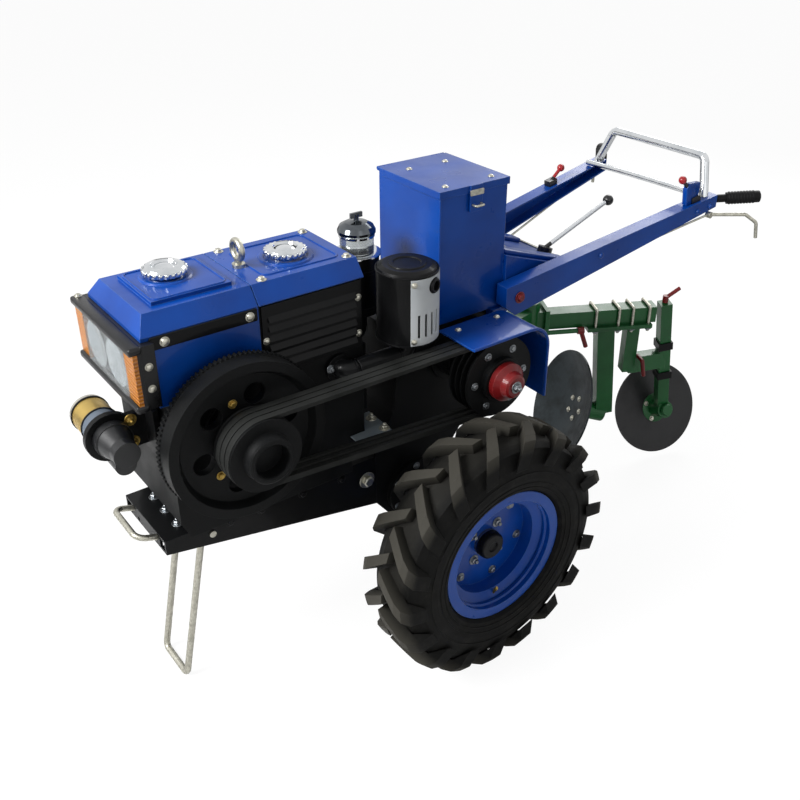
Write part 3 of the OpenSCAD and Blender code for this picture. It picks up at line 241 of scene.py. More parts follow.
def lever_finish():
    """Levers: a chromed gear lever with a black knob, black brackets and red moulded knobs,
    which are told apart by their place."""
    red_knobs = ((at(-823.4, 201.3, 1010.6), 0.0125), (at(-761.9, -188.8, 959.5), 0.036))
    chrome_rear, chrome_front, chrome_side = -752, -535, 0.1
    made, tree, shader, where = start("chromed_lever_moulded_knobs")
    split = add(tree, "ShaderNodeSeparateXYZ", {"Vector": where})
    length = split.outputs["X"]
    grain = add(tree, "ShaderNodeTexNoise", {"Vector": where, "Scale": METRE / 14, "Detail": 4.0}, "Fac")
    colour = add(tree, "ShaderNodeMix", {0: grain, 6: linear("#17181a"), 7: linear("#0d0d0f")}, 2,
                 data_type="RGBA")
    for centre, reach in red_knobs:
        far = add(tree, "ShaderNodeVectorMath", {0: where, 1: centre}, "Value", operation="DISTANCE")
        near = add(tree, "ShaderNodeMath", {0: far, 1: reach}, 0, operation="LESS_THAN")
        colour = add(tree, "ShaderNodeMix", {0: near, 6: colour, 7: linear("#a81a20")}, 2, data_type="RGBA")
    side = add(tree, "ShaderNodeMath", {0: split.outputs["Y"]}, 0, operation="ABSOLUTE")
    inner = add(tree, "ShaderNodeMath", {0: side, 1: chrome_side}, 0, operation="LESS_THAN")
    ahead = add(tree, "ShaderNodeMath", {0: length, 1: at(chrome_rear, 0, 0).x}, 0, operation="GREATER_THAN")
    behind = add(tree, "ShaderNodeMath", {0: length, 1: at(chrome_front, 0, 0).x}, 0, operation="LESS_THAN")
    chromed = add(tree, "ShaderNodeMath", {0: inner, 1: ahead}, 0, operation="MULTIPLY")
    chromed = add(tree, "ShaderNodeMath", {0: chromed, 1: behind}, 0, operation="MULTIPLY")
    colour = add(tree, "ShaderNodeMix", {0: chromed, 6: colour, 7: linear("#c9cccf")}, 2, data_type="RGBA")
    tree.links.new(colour, shader.inputs["Base Color"])
    tree.links.new(chromed, shader.inputs["Metallic"])
    dull = add(tree, "ShaderNodeMapRange", {"Value": grain, "From Min": 0.3, "From Max": 0.7,
                                            "To Min": 0.2, "To Max": 0.34}, "Result")
    tree.links.new(dull, shader.inputs["Roughness"])
    fold = add(tree, "ShaderNodeBevel", {"Radius": 1.0 * MM}, "Normal", samples=4)
    tree.links.new(fold, shader.inputs["Normal"])
    return made


def ground_disc(name, hexa, stain_hexa, centre, metallic):
    """Rolled disc steel: ring marks from grinding round its middle, with an earth stain."""
    made, tree, shader, where = start(name, Metallic=metallic)
    blotch = add(tree, "ShaderNodeTexNoise", {"Vector": where, "Scale": METRE / 60, "Detail": 8.0,
                                              "Roughness": 0.65}, "Fac")
    stain = add(tree, "ShaderNodeMapRange", {"Value": blotch, "From Min": 0.45, "From Max": 0.75}, "Result")
    colour = add(tree, "ShaderNodeMix", {0: stain, 6: linear(hexa), 7: linear(stain_hexa)}, 2,
                 data_type="RGBA")
    tree.links.new(colour, shader.inputs["Base Color"])
    dull = add(tree, "ShaderNodeMapRange", {"Value": blotch, "From Min": 0.3, "From Max": 0.7,
                                            "To Min": 0.34, "To Max": 0.5}, "Result")
    tree.links.new(dull, shader.inputs["Roughness"])
    # Grinding marks are about 0.2 mm apart; they are drawn 3 mm apart to show in the render.
    marks_mm = 3
    far = add(tree, "ShaderNodeVectorMath", {0: where, 1: centre}, "Value", operation="DISTANCE")
    turns = add(tree, "ShaderNodeMath", {0: far, 1: 2 * math.pi / (marks_mm * MM)}, 0, operation="MULTIPLY")
    marks = add(tree, "ShaderNodeMath", {0: turns}, 0, operation="SINE")
    fold = add(tree, "ShaderNodeBevel", {"Radius": 0.8 * MM}, "Normal", samples=4)
    skin = add(tree, "ShaderNodeBump", {"Height": marks, "Distance": 0.02 * MM, "Normal": fold}, "Normal")
    tree.links.new(skin, shader.inputs["Normal"])
    return made


def clear(name, hexa, haze_hexa, rough, through, ior):
    """Clear moulded plastic: mostly see-through, with the faint haze of a used surface."""
    made, tree, shader, where = start(name, Transmission_Weight=through, IOR=ior)
    blotch = add(tree, "ShaderNodeTexNoise", {"Vector": where, "Scale": METRE / 30, "Detail": 4.0}, "Fac")
    colour = add(tree, "ShaderNodeMix", {0: blotch, 6: linear(hexa), 7: linear(haze_hexa)}, 2,
                 data_type="RGBA")
    tree.links.new(colour, shader.inputs["Base Color"])
    dull = add(tree, "ShaderNodeMapRange", {"Value": blotch, "From Min": 0.3, "From Max": 0.7,
                                            "To Min": rough, "To Max": rough + 0.1}, "Result")
    tree.links.new(dull, shader.inputs["Roughness"])
    return made


def amber_finish():
    """Amber acrylic: a deep orange gloss with moulded flutes that catch the light."""
    flute_mm = 8
    made, tree, shader, where = start("moulded_amber_acrylic", Roughness=0.14, Transmission_Weight=0.1)
    split = add(tree, "ShaderNodeSeparateXYZ", {"Vector": where})
    turns = add(tree, "ShaderNodeMath", {0: split.outputs["Z"], 1: 2 * math.pi / (flute_mm * MM)}, 0,
                operation="MULTIPLY")
    wave = add(tree, "ShaderNodeMath", {0: turns}, 0, operation="SINE")
    crest = add(tree, "ShaderNodeMapRange", {"Value": wave, "From Min": -1.0}, "Result")
    colour = add(tree, "ShaderNodeMix", {0: crest, 6: linear("#c97d16"), 7: linear("#a85f0a")}, 2,
                 data_type="RGBA")
    tree.links.new(colour, shader.inputs["Base Color"])
    skin = add(tree, "ShaderNodeBump", {"Height": wave, "Distance": 0.5 * MM}, "Normal")
    tree.links.new(skin, shader.inputs["Normal"])
    return made


DISC_CENTRE = (-785, -60, 194.2)
DISC_AXIS = Vector((0.86378, -0.38458, 0.32557))
TAIL_CENTRE = (-1052, 52, 153.1)
TAIL_AXIS = Vector((0.25556, 0.89126, 0.37461))
STARTER = starter_finish()
LEVERS = lever_finish()
DISC = ground_disc("ground_disc_steel", "#2e3437", "#1f2121", at(*DISC_CENTRE), 0.8)
TAIL = ground_disc("blackened_disc_steel", "#1b1b1d", "#121213", at(*TAIL_CENTRE), 0.3)
BOWL = clear("clear_moulded_bowl", "#dfe4e5", "#bcc4c6", 0.05, 0.85, 1.5)
LENS = clear("clear_ribbed_polycarbonate", "#eef2f3", "#dfe4e6", 0.0, 0.92, 1.58)
AMBER = amber_finish()

FINISHES = {
    BLUE: ["gear_cover", "hood", "fuel_tank", "belt_fender", "toolbox", "toolbox_lid", "handle_arms",
           "rim_left", "rim_right"],
    BLACK: ["frame", "side_panels", "starter_bracket", "muffler", "air_cleaner"],
    GREEN: ["plough_hitch", "plough_beam", "plough_standards"],
    RED: ["clutch_hub", "plough_cranks"],
    WHITE: ["muffler_guard"],
    IRON: ["gearbox", "engine_block", "flywheel", "engine_pulley", "clutch_pulley"],
    ZINC: ["bumper", "stand", "lifting_eye", "steering_levers"],
    CHROME: ["filler_caps", "handle_hoop"],
    DARK_CHROME: ["air_cleaner_cap"],
    STEEL: ["axle_left", "axle_right"],
    RUBBER: ["grips"],
    BELT: ["belts"],
    PLASTIC: ["lamp_housing"],
    TYRE: ["tyre_left", "tyre_right"],
    STARTER: ["starter_motor"],
    LEVERS: ["control_levers"],
    DISC: ["plough_disc"],
    TAIL: ["tail_disc"],
    BOWL: ["air_cleaner_bowl"],
    LENS: ["lamp_lens"],
    AMBER: ["amber_lenses"],
}
for finish, names in FINISHES.items():
    for name in names:
        nodes[name].data.materials.clear()
        nodes[name].data.materials.append(finish)


# Tools for the pieces: shapes are drawn in millimetres and then carried to their place

def lean_to(axis):
    """The turn that carries +Z onto an axis."""
    return Vector((0, 0, 1)).rotation_difference(Vector(axis)).to_matrix()


def place(spot, axis=(0, 0, 1), spin=0.0):
    """Carries a shape drawn along +Z to a spot on the machine, along an axis."""
    turned_by = lean_to(axis).to_4x4() @ Matrix.Rotation(spin, 4, "Z")
    return Matrix.Translation(at(*spot)) @ turned_by @ Matrix.Scale(MM, 4)


def lay(spot, u, v, w):
    """Carries a plate drawn in its own X and Y, thick along its Z, onto a face of the machine."""
    lean = Matrix((u, v, w)).transposed().to_4x4()
    return Matrix.Translation(at(*spot)) @ lean @ Matrix.Scale(MM, 4)


LEFT_RIGHT = (1, -1)
LEFTWARD, RIGHTWARD, FORWARD, UPWARD = (0, 1, 0), (0, -1, 0), (1, 0, 0), (0, 0, 1)
OUTWARD = {1: LEFTWARD, -1: RIGHTWARD}
FRONT = (LEFTWARD, UPWARD, FORWARD)
SIDE = {s: (FORWARD, UPWARD, OUTWARD[s]) for s in LEFT_RIGHT}
# For rods whose points are already places on the machine
AS_DRAWN = place((0, 0, 0))


def turned(profile, steps=32):
    """A turned shape from pairs of radius and height; a profile that ends where it began is a ring."""
    shape = bmesh.new()
    ring = profile[0] == profile[-1]
    verts = [shape.verts.new((r, 0, z)) for r, z in (profile[:-1] if ring else profile)]
    ends = verts[1:] + verts[:1] if ring else verts[1:]
    edges = [shape.edges.new(pair) for pair in zip(verts, ends)]
    bmesh.ops.spin(shape, geom=verts + edges, axis=(0, 0, 1), cent=(0, 0, 0), angle=2 * math.pi,
                   steps=steps, use_merge=True)
    return shape


def band(inner, outer, high, steps=40):
    """A plain turned ring."""
    return turned([(inner, 0), (outer, 0), (outer, high), (inner, high), (inner, 0)], steps)


def slab(outline, thick, ease=0.0, segments=2):
    """A plate cut to an outline, with its edges eased."""
    shape = bmesh.new()
    face = shape.faces.new([shape.verts.new((x, y, 0)) for x, y in outline])
    raised = bmesh.ops.extrude_face_region(shape, geom=[face])["geom"]
    top = [v for v in raised if isinstance(v, bmesh.types.BMVert)]
    bmesh.ops.translate(shape, vec=(0, 0, thick), verts=top)
    bmesh.ops.holes_fill(shape, edges=shape.edges)
    if ease:
        sharp = [e for e in shape.edges if len(e.link_faces) == 2 and e.calc_face_angle() > 0.7]
        bmesh.ops.bevel(shape, geom=sharp, offset=ease, affect="EDGES", segments=segments, profile=0.5,
                        material=-1)
    return shape


def rounded(x0, y0, x1, y1, r, steps=5):
    """The outline of a rectangle with round corners."""
    corners = ((x1 - r, y1 - r, 0), (x0 + r, y1 - r, 1), (x0 + r, y0 + r, 2), (x1 - r, y0 + r, 3))
    arcs = [(x, y, (q + i / steps) * math.pi / 2) for x, y, q in corners for i in range(steps + 1)]
    return [(x + r * math.cos(a), y + r * math.sin(a)) for x, y, a in arcs]


def rod(points, r, closed=False, smooth=True):
    """A round bar along points, drawn as a curve and turned to a mesh."""
    curve = bpy.data.curves.new("rod", "CURVE")
    curve.dimensions = "3D"
    curve.bevel_depth = r
    curve.bevel_resolution = 3
    curve.resolution_u = 6
    curve.use_fill_caps = True
    spline = curve.splines.new("NURBS" if smooth else "POLY")
    spline.points.add(len(points) - 1)
    for point, spot in zip(spline.points, points):
        point.co = (*spot, 1)
    spline.use_cyclic_u = closed
    if smooth:
        spline.order_u = 3
        spline.use_endpoint_u = not closed
    holder = bpy.data.objects.new("rod", curve)
    mesh = bpy.data.meshes.new_from_object(holder)
    shape = bmesh.new()
    shape.from_mesh(mesh)
    bpy.data.objects.remove(holder)
    bpy.data.curves.remove(curve)
    bpy.data.meshes.remove(mesh)
    return shape


def bead(outline, r):
    """A closed round bead along a flat outline."""
    return rod([(x, y, 0) for x, y in outline], r, closed=True, smooth=False)


def hexagon(r):
    """A bolt's hex head with eased corners on a washer."""
    washer = [(0, 0), (1.65 * r, 0), (1.72 * r, 0.1 * r), (1.65 * r, 0.25 * r), (0, 0.25 * r)]
    head = [(0, 0.2 * r), (1.12 * r, 0.2 * r), (1.12 * r, 0.9 * r), (0.9 * r, 1.08 * r), (0, 1.08 * r)]
    return [turned(washer, 20), turned(head, 6)]


def nut(r):
    """A hex nut on its washer, with the end of its stud."""
    stud = [(0, 0.9 * r), (0.62 * r, 0.9 * r), (0.62 * r, 1.7 * r), (0.45 * r, 1.9 * r), (0, 1.9 * r)]
    return hexagon(r) + [turned(stud, 14)]


def dome(r):
    """A round-headed screw on its washer."""
    return [turned([(0, 0), (1.3 * r, 0), (1.3 * r, 0.2 * r), (r, 0.25 * r), (0.9 * r, 0.6 * r),
                    (0.5 * r, 0.85 * r), (0, 0.92 * r)], 20)]


def bolt_circle(x, y, z, r, count, first=0):
    """Spots round a centre on a face that looks sideways, from a first angle in degrees."""
    angles = [math.radians(first + 360 * k / count) for k in range(count)]
    return [(x + r * math.cos(a), y, z + r * math.sin(a)) for a in angles]


def fit(name, body, finish, placed):
    """Joins placed shapes into one piece, gives it its finish and lets it ride on a body."""
    mesh = bpy.data.meshes.new(name)
    whole = bmesh.new()
    for shape, matrix in placed:
        bmesh.ops.remove_doubles(shape, verts=shape.verts, dist=0.005)
        bmesh.ops.transform(shape, matrix=matrix, verts=shape.verts)
        bmesh.ops.recalc_face_normals(shape, faces=shape.faces)
        shape.to_mesh(mesh)
        shape.free()
        whole.from_mesh(mesh)
    whole.to_mesh(mesh)
    whole.free()
    mesh.shade_smooth()
    mesh.set_sharp_from_angle(angle=math.radians(38))
    mesh.materials.append(finish)
    made = bpy.data.objects.new(name, mesh)
    bpy.context.scene.collection.objects.link(made)
    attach(made, body)
    return made


def fasten(name, body, finish, make, r, spots):
    """One piece of equal bolts, nuts or screws at spots, each with the way it points."""
    return fit(name, body, finish,
               [(shape, place(spot, axis)) for spot, axis in spots for shape in make(r)])


# Tank, hood and side panels

TANK_TOP, HOOD_TOP = 1004, 996
TANK_CAP, HOOD_CAP = (542, -22), (280, 13)

fit("tank_strips", "chassis", BLACK,
    [(slab(rounded(422, 929, 654, 957, 4), 4, 1.0), lay((0, s * 133.5, 0), *SIDE[s])) for s in LEFT_RIGHT])
fasten("tank_strip_screws", "chassis", ZINC, dome, 8,
       [((x, s * 137.4, 943), OUTWARD[s]) for x in (440, 624) for s in LEFT_RIGHT])
fit("tank_panel_bead", "chassis", BLUE,
    [(bead(rounded(454, -78, 614, 78, 14), 2.4), place((0, 0, TANK_TOP))),
     (turned([(44, 0), (56, 0), (52, 4), (44, 4), (44, 0)]), place((*TANK_CAP, TANK_TOP - 0.5)))])
fit("hood_bead", "chassis", BLUE,
    [(bead(rounded(186, -82, 372, 82, 16), 2.6), place((0, 0, HOOD_TOP))),
     (turned([(46, 0), (62, 0), (58, 4.5), (50, 4.5), (46, 0)], 40), place((*HOOD_CAP, HOOD_TOP - 0.5)))])
fasten("hood_screws", "chassis", ZINC, hexagon, 6.5,
       [((x, y, HOOD_TOP - 0.2), UPWARD) for x, y in ((174, -92), (174, 92), (386, 96), (386, -96))])
fasten("side_panel_screws", "chassis", ZINC, dome, 6.5,
       [((x, s * 132.2, z), OUTWARD[s]) for x, z in ((173.5, 913), (173.5, 826), (404, 874))
        for s in LEFT_RIGHT])


def fluted(r, count, depth):
    """The outline of a cap with finger flutes."""
    return [(q * math.cos(a), q * math.sin(a)) for i in range(count) for q, a in (
        (r, 2 * math.pi * i / count), (r + depth, 2 * math.pi * (i + 0.3) / count),
        (r + depth, 2 * math.pi * (i + 0.6) / count), (r, 2 * math.pi * (i + 0.9) / count))]


fit("cap_crowns", "chassis", CHROME,
    [(slab(fluted(43.6, 22, 4.0), 10, 0.8, 1), place((*cap, top + 9)))
     for cap, top in ((TANK_CAP, TANK_TOP), (HOOD_CAP, HOOD_TOP))]
    + [(turned([(0, 4.5), (9, 4.2), (17, 2.6), (21, 0), (0, 0)]), place((*cap, z)))
       for cap, z in ((TANK_CAP, TANK_TOP + 20.8), (HOOD_CAP, HOOD_TOP + 18.8))])

# Lamp

LAMP_Z = 882.5

fit("lamp_frame", "chassis", PLASTIC,
    [(slab(rounded(-155, low, 155, low + 17, 7), 27, 5.0, 3), lay((676, 0, 0), *FRONT))
     for low in (811, 936.5)])
fasten("lamp_screws", "chassis", ZINC, dome, 6.5,
       [((666, s * 149.8, z), OUTWARD[s]) for z in (906, 858) for s in LEFT_RIGHT]
       + [((688, -143, 953.3), UPWARD)])


def ribbed_glass(wide=206, high=111, thick=2.5, flute=7.36, depth=1.3):
    """A moulded lens with upright flutes on its face."""
    shape = bmesh.new()
    bmesh.ops.create_grid(shape, x_segments=112, y_segments=8, size=0.5)
    bmesh.ops.scale(shape, vec=(wide, high, 1), verts=shape.verts)
    for vert in shape.verts:
        vert.co.z = depth * math.cos(vert.co.x * 2 * math.pi / flute)
    bmesh.ops.recalc_face_normals(shape, faces=shape.faces)
    bmesh.ops.solidify(shape, geom=list(shape.faces), thickness=thick)
    return shape


glass = fit("lamp_glass", "chassis", LENS, [(ribbed_glass(), lay((695.3, 0, LAMP_Z), *FRONT))])
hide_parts("lamp_lens")
fit("lamp_reflector", "chassis", STEEL,
    [(slab(rounded(-102, 827, 102, 938, 3), 1.2), lay((686.5, 0, 0), *FRONT))])
bowl = [(0, 0.6), (16, 0.8), (30, 2.0), (42, 4.4), (47, 5.4), (50, 5.4), (50, 0), (0, 0)]
fit("lamp_bowls", "chassis", CHROME,
    [(turned(bowl, 40), place((687.4, y, LAMP_Z), FORWARD)) for y in (-51, 51)])

# Engine

CRANK_X, CRANK_Z = 500, 704
FLYWHEEL_Y = 195.4
STARTER_X, STARTER_Z = 728, 715
ENGINE_RIGHT = -127.5

fit("pulley_flange", "crankshaft", IRON,
    [(turned([(60.4, 0), (78, 0), (78, 8), (75, 11), (60.4, 11), (60.4, 0)], 48),
      place((CRANK_X, FLYWHEEL_Y, CRANK_Z), LEFTWARD))])
fasten("flywheel_bolts", "crankshaft", YELLOW_ZINC, hexagon, 6,
       [(spot, LEFTWARD) for spot in bolt_circle(CRANK_X, FLYWHEEL_Y, CRANK_Z, 94, 3, 75)])
fit("pulley_end_lip", "crankshaft", IRON,
    [(turned([(38.3, 0), (51, 0), (51, 4), (47, 7), (41, 7), (38.3, 4), (38.3, 0)], 48),
      place((CRANK_X, 300, CRANK_Z), LEFTWARD))])
fasten("starter_bolts", "chassis", YELLOW_ZINC, nut, 8, [((684, 44, z), LEFTWARD) for z in (690, 742)])
fit("starter_bands", "chassis", BLACK,
    [(band(40.2, 42, wide), place((STARTER_X, y, STARTER_Z), LEFTWARD))
     for y, wide in ((-75, 5), (-16, 4), (20, 7))])
fit("starter_terminals", "chassis", YELLOW_ZINC,
    [(shape, place((716, -30, z), RIGHTWARD)) for z in (645, 665) for shape in nut(6)]
    + [(shape, place((STARTER_X + dx, -85, STARTER_Z), RIGHTWARD)) for dx in (26, -26) for shape in dome(5)])
fasten("exhaust_bolts", "chassis", STEEL, nut, 6,
       [((x, 137.6, z), LEFTWARD) for x, z in ((205, 750), (255, 762))])
SHELF = [(103, 61), (161, 61), (161, 128.6), (203, 128.6), (203, 150), (202, 180), (108, 199)]
fit("engine_shelf", "chassis", GREY, [(slab(SHELF, 4, 0.8), place((0, 0, 556)))])
fasten("engine_shelf_bolts", "chassis", ZINC, nut, 8, [((118, y, 559.8), UPWARD) for y in (92, 148)])
fit("engine_side_cover", "chassis", IRON,
    [(slab(rounded(352, 540, 612, 772, 34, 6), 12, 3.0), lay((0, ENGINE_RIGHT, 0), *SIDE[-1])),
     (turned([(0, 0), (36, 0), (36, 16), (32, 20), (18, 20), (16, 8), (0, 8)]),
      place((440, -139, 630), RIGHTWARD)),
     (turned([(0, 0), (18, 0), (18, 26), (24, 28), (24, 38), (20, 42), (0, 42)]),
      place((560, -139, 720), RIGHTWARD))])
fasten("engine_side_bolts", "chassis", STEEL, hexagon, 6,
       [((x, -139.3, z), RIGHTWARD) for x, z in ((370, 560), (482, 556), (594, 560), (598, 656),
                                                 (366, 656), (370, 752), (482, 756), (594, 752))])
fit("injection_pump", "chassis", STEEL,
    [(slab(rounded(228, 600, 310, 700, 10), 30, 4.0), lay((0, ENGINE_RIGHT, 0), *SIDE[-1])),
     (turned([(0, 0), (11, 0), (11, 34), (7, 38), (7, 50), (0, 50)], 24), place((269, -144, 698), UPWARD)),
     (rod([(269, -144, 744), (269, -144, 775), (262, -140, 783), (235, -126, 786)], 4), AS_DRAWN)])

# Frame and gearbox

CLUTCH_X, CLUTCH_Z = -125, 678

fasten("front_plate_bolts_top", "chassis", STEEL, nut, 8, [((624, y, 456.8), UPWARD) for y in (-62, 0, 62)])
fasten("rail_bolts", "chassis", BLACK, hexagon, 7,
       [((x, s * 107.8, z), OUTWARD[s]) for x, z in ((220, 432), (330, 437), (440, 440), (520, 442))
        for s in LEFT_RIGHT])
fasten("drain_plug", "chassis", ZINC, hexagon, 13, [((146, 107.8, 398), LEFTWARD)])
fasten("axle_housing_bolts", "chassis", STEEL, hexagon, 6,
       [(spot, OUTWARD[s]) for s in LEFT_RIGHT for spot in bolt_circle(0, s * 120.8, TYRE_R, 68, 6, 30)])
fit("gearbox_side_plates", "chassis", IRON,
    [(slab(rounded(-200, 560, -30, 735, 30, 6), 7, 2.0), lay((0, -104.6, 0), *SIDE[-1])),
     (band(60.2, 76, 10), place((CLUTCH_X, 104.6, CLUTCH_Z), LEFTWARD))])
fasten("gearbox_side_bolts", "chassis", STEEL, hexagon, 6,
       [((x, -111.4, z), RIGHTWARD) for x, z in ((-184, 578), (-46, 578), (-184, 718), (-46, 718),
                                                 (-115, 572), (-115, 724))])

# Exhaust and intake

MUFFLER = (59, 159)
CLEANER = (72, -20)


def level_way(degrees):
    """A level direction at an angle."""
    return Vector((math.cos(math.radians(degrees)), math.sin(math.radians(degrees)), 0))


guard_way = level_way(110)
fit("muffler_outlet", "chassis", BLACK,
    [(turned([(11, 0), (17, 0), (17, 10), (15, 12), (12, 12), (11, 8), (11, 0)], 32),
      place(Vector((*MUFFLER, 939)) + guard_way * 66, guard_way))])
fasten("guard_screws", "chassis", ZINC, dome, 5.5,
       [(Vector((*MUFFLER, z)) + level_way(angle) * 73.1, level_way(angle))
        for angle in (66, 164) for z in (814, 951)])
fit("muffler_seams", "chassis", BLACK,
    [(band(69.5, 72, 4, 48), place((*MUFFLER, z))) for z in (799, 963)]
    + [(turned([(30, 0), (44, 0), (42, 2.5), (32, 2.5), (30, 0)], 40), place((*MUFFLER, 975.8)))])
fit("cleaner_clamps", "chassis", CHROME,
    [(turned([(36, 0), (57, 0), (57, 4), (50, 5.5), (36, 5.5), (36, 0)], 40), place((*CLEANER, 944.5))),
     (band(40.2, 42.5, 5), place((*CLEANER, 988)))])
fit("cleaner_band", "chassis", BLACK, [(band(51.8, 54, 9), place((*CLEANER, z))) for z in (812, 905)])

# Clutch, fender and toolbox

FENDER_Y = 300
BEND_X, BEND_Z, BEND_R = -202, 731, 58

fasten("clutch_pulley_bolts", "clutch", STEEL, hexagon, 6,
       [(spot, LEFTWARD) for spot in bolt_circle(CLUTCH_X, 279.3, CLUTCH_Z, 76, 6)])
fasten("clutch_nut", "clutch", STEEL, nut, 9, [((CLUTCH_X, 339.8, CLUTCH_Z), LEFTWARD)])
bend = [(BEND_X - BEND_R * math.sin(a), FENDER_Y, BEND_Z + BEND_R * math.cos(a))
        for a in [math.radians(10 * k) for k in range(10)]]
fit("fender_edge", "chassis", BLUE,
    [(rod([(-24, FENDER_Y, 789)] + bend + [(-260, FENDER_Y, 592)], 4.2, smooth=False), AS_DRAWN)])
fasten("fender_screws", "chassis", ZINC, dome, 6, [((x, 200, 790.8), UPWARD) for x in (-60, -180)])
fasten("lid_rivets", "lid", ZINC, dome, 6,
       [((x, y, 1101.4), UPWARD) for x, y in ((-110, -60), (-220, -60), (-96, 96), (-234, 96))])
fit("lid_catch", "lid", ZINC,
    [(slab(rounded(-186, 1078, -145, 1092, 3), 2.5, 0.6), lay((0, 126.8, 0), *SIDE[1])),
     (rod([(x, y, 1056) for x, y in ((-178, 128), (-178, 138), (-176, 141), (-155, 141), (-153, 138),
                                     (-153, 128))], 3), AS_DRAWN)])
fit("toolbox_folds", "chassis", BLUE,
    [(rod([(x, y, 776), (x, y, 1080)], 2.2, smooth=False), AS_DRAWN)
     for x in (-265.5, -65.5) for y in (-117.5, 117.5)])

# Cover, arms and handles

COVER_X, COVER_Z, COVER_FALL = -267, 904.9, 0.35
SLOPE = Vector((-1, 0, -COVER_FALL)).normalized()
SLOPE_UP = Vector((-COVER_FALL, 0, 1)).normalized()


def on_cover(x, y, lift):
    """A spot on the sloping gear cover."""
    return (x, y, COVER_Z + (x - COVER_X) * COVER_FALL + lift)


def along_cover(y, lift):
    """Lays a plate down the slope from the cover's top edge."""
    return lay(on_cover(COVER_X - 1, y, lift), SLOPE, LEFTWARD, SLOPE_UP)


fit("cover_ridges", "chassis", BLUE,
    [(slab(rounded(6, -22, 250, 22, 8), 12, 4.0, 3), along_cover(y, -0.4)) for y in (92, -92)])
fit("shift_gate", "chassis", ZINC,
    [(slab(rounded(8, -24, 92, 24, 5), 4, 0.8), along_cover(40, -0.3))]
    + [(shape, place(on_cover(x, y, 3.4), SLOPE_UP)) for y in (57, 23) for x in (-282, -344)
       for shape in dome(4.5)])
# The slots are thin black sheets laid on the gate: painted shade where the openings are.
fit("shift_gate_painted_slot_shade", "chassis", BLACK,
    [(slab(rounded(20, y - 4, 80, y + 4, 4), 0.8), along_cover(40, 3.8)) for y in (-9, 9)])
fit("cover_rear_strip", "chassis", ZINC,
    [(slab(rounded(268, -118, 283, 118, 3), 4, 0.8), along_cover(0, -0.3))])

ARM_FOOT = (-239, 150, 838)
ARM_RUN = (-716, 57, 114)


def arm(f, s, out, drop):
    """A spot on an arm's top edge, moved outward and down."""
    x, y, z = [foot + run * f for foot, run in zip(ARM_FOOT, ARM_RUN)]
    return (x, s * (y + out), z - drop)


fasten("arm_pivot_bolts", "chassis", RED, hexagon, 9,
       [((-279, s * 173.0, 806), OUTWARD[s]) for s in LEFT_RIGHT])
fasten("arm_bolts", "chassis", BLUE, dome, 7,
       [(arm(f, s, 19.7, 24), OUTWARD[s]) for f in (0.42, 0.9, 0.965) for s in LEFT_RIGHT])
fit("lever_bracket", "chassis", BLUE,
    [(slab([(-22, 0), (20, 0), (26, 46), (18, 62), (-30, 58), (-30, 30)], 16, 3.0),
      lay((-866, 192, 936), *SIDE[1]))])
fit("arm_cross_rod", "chassis", CHROME,
    [(rod([(-890, -203, 951), (-884, 0, 962), (-868, 196, 968)], 8), AS_DRAWN)])
fasten("hoop_nuts", "chassis", STEEL, nut, 8, [((-931, s * 193, 958), OUTWARD[-s]) for s in LEFT_RIGHT])
GRIP_R, RIB_R = 16.2, 17.6
sleeve = [(0, 40)]
for foot in range(44, 116, 8):
    sleeve += [(GRIP_R, foot), (RIB_R, foot + 2), (RIB_R, foot + 5), (GRIP_R, foot + 7)]
sleeve += [(GRIP_R, 124), (14, 129.5), (8, 132), (0, 132.5)]
for side, s in (("left", 1), ("right", -1)):
    grip_way = Vector((-0.72, s * 0.68, 0.1)).normalized()
    fit("grip_sleeve_" + side, "chassis", RUBBER, [(turned(sleeve), place((-955.3, s * 207, 935), grip_way))])

# Wheels

WHEEL_Y = 405
WEB_Y = 395.8

for side, s in (("left", 1), ("right", -1)):
    body = "wheel_" + side
    fasten("hub_nuts_" + side, body, STEEL, nut, 8,
           [(spot, OUTWARD[s]) for spot in bolt_circle(0, s * WEB_Y, TYRE_R, 54, 4, 40)])
    fasten("rim_bolts_" + side, body, STEEL, hexagon, 7,
           [(spot, OUTWARD[s]) for spot in bolt_circle(0, s * WEB_Y, TYRE_R, 106, 6, 15)])
    fit("axle_cap_" + side, body, BLACK,
        [(turned([(0, 0), (36, 0), (36, 4), (34, 18), (30, 22), (14, 22), (12, 18), (0, 18)], 40),
          place((0, s * WHEEL_Y, TYRE_R), OUTWARD[s]))])
    fit("valve_" + side, body, YELLOW_ZINC,
        [(turned([(0, 0), (5, 0), (5, 6), (3.5, 8), (3.5, 26), (4.5, 27), (4.5, 36), (3, 38), (0, 38)], 14),
          place((0, s * 430, TYRE_R - 146), (0, s * 0.5, 1)))])
    fit("rim_step_" + side, body, BLUE,
        [(turned([(143, 0), (147.4, 0), (147.4, 9), (143, 6), (143, 0)], 64),
          place((0, s * 446, TYRE_R), OUTWARD[s]))])
    fit("sidewall_rings_" + side, body, TYRE,
        [(turned([(r - 2.5, -2), (r + 2.5, -2), (r + 1.4, 1.6), (r - 1.4, 1.6), (r - 2.5, -2)], 72),
          place((0, s * (WHEEL_Y + y), TYRE_R), OUTWARD[s]))
         for r, y in ((190, 73.9), (204, 77.0), (232, 78.4))])

# Plough

BEAM_FOOT = Vector((-640, -85, 0))
BEAM_WAY = Vector((-0.8867, 0.4623, 0))
BEAM_SIDE = Vector((0.4623, 0.8867, 0))
U_BOLT = ((-31, 496), (-31, 566), (-31, 575), (-22, 576), (22, 576), (31, 575), (31, 566), (31, 496))
U_BOLTS_AT = (150, 222, 266, 318)


def on_beam(d, across, z):
    """A spot along the beam and across it."""
    spot = BEAM_FOOT + BEAM_WAY * d + BEAM_SIDE * across
    return (spot.x, spot.y, z)


